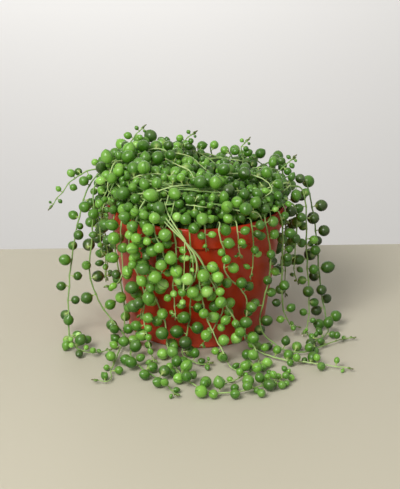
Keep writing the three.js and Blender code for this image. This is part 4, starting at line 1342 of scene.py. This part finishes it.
# Lamps: where they are, what they aim at, their width and height, power and colour
LAMPS = {
    "key": ((-0.68, -1.13, 1.2), (0, 0, 0.05), (0.8, 0.8), 31, (1, 0.985, 0.96)),
    "wall_wash": ((-0.25, 1.3, 0.6), (-0.15, BACKDROP["at"], 0.1), (1.0, 0.3), 8.5, (1, 1, 1)),
}
ROOM_LIGHT = {"Color": (1.0, 0.99, 0.97, 1), "Strength": 0.46}
CAMERA = {"back": 0.999, "up": 0.436, "pitch": 20.85, "yaw": 0.13, "lens": 117.8, "sensor": 36}


def box_piece(name, low, high, look):
    corners = [(x, y, z) for x in (low[0], high[0]) for y in (low[1], high[1]) for z in (low[2], high[2])]
    faces = [(0, 1, 3, 2), (4, 6, 7, 5), (0, 4, 5, 1), (2, 3, 7, 6), (0, 2, 6, 4), (1, 5, 7, 3)]
    mesh = bpy.data.meshes.new(name)
    mesh.from_pydata(corners, [], faces)
    mesh.materials.append(stage_material(**look))
    made = linked(name, mesh)
    return made


def softbox(name, place, aim, size, power, colour):
    light = bpy.data.lights.new(name, "AREA")
    light.shape = "RECTANGLE"
    light.size, light.size_y = size
    light.energy = power
    light.color = colour
    lamp = linked(name, light)
    lamp.location = place
    lamp.rotation_euler = (Vector(aim) - Vector(place)).to_track_quat("-Z", "Y").to_euler()


def build_stage():
    side, high = BACKDROP["side"], BACKDROP["high"]
    low_corner = (-TABLE["side"], TABLE["near"], -TABLE["thick"])
    top_corner = (TABLE["side"], TABLE["far"], 0)
    table = box_piece("table", low_corner, top_corner, TABLE_LOOK)
    table.rotation_euler = (0, 0, math.radians(TABLE["turn"]))
    near, far = BACKDROP["at"], BACKDROP["at"] + BACKDROP["thick"]
    box_piece("wall", (-side, near, -high), (side, far, high), BACKDROP_LOOK)
    for name, lamp in LAMPS.items():
        softbox(name, *lamp)
    world = bpy.data.worlds.new("room")
    world.use_nodes = True
    for key, value in ROOM_LIGHT.items():
        world.node_tree.nodes["Background"].inputs[key].default_value = value
    bpy.context.scene.world = world
    bpy.context.scene.view_settings.view_transform = "Standard"


def build_camera():
    camera = bpy.data.cameras.new("camera")
    camera.lens, camera.sensor_width = CAMERA["lens"], CAMERA["sensor"]
    eye = linked("camera", camera)
    eye.location = (0, -CAMERA["back"], CAMERA["up"])
    eye.rotation_euler = (math.radians(90 - CAMERA["pitch"]), 0, -math.radians(CAMERA["yaw"]))
    bpy.context.scene.camera = eye


strands, sprigs, taken = lay_out()
rng = np.random.default_rng(FINE_SEED)
greens = [leaf_material(), stem_material()]
pot_piece(pot_material())
soil_piece(soil_material(), rng)
crown_shade_mat(mat_material())
for strand in strands:
    strand_piece(strand, taken, greens, rng)
crown_pieces(sprigs, taken, greens, rng)
build_stage()
build_camera()
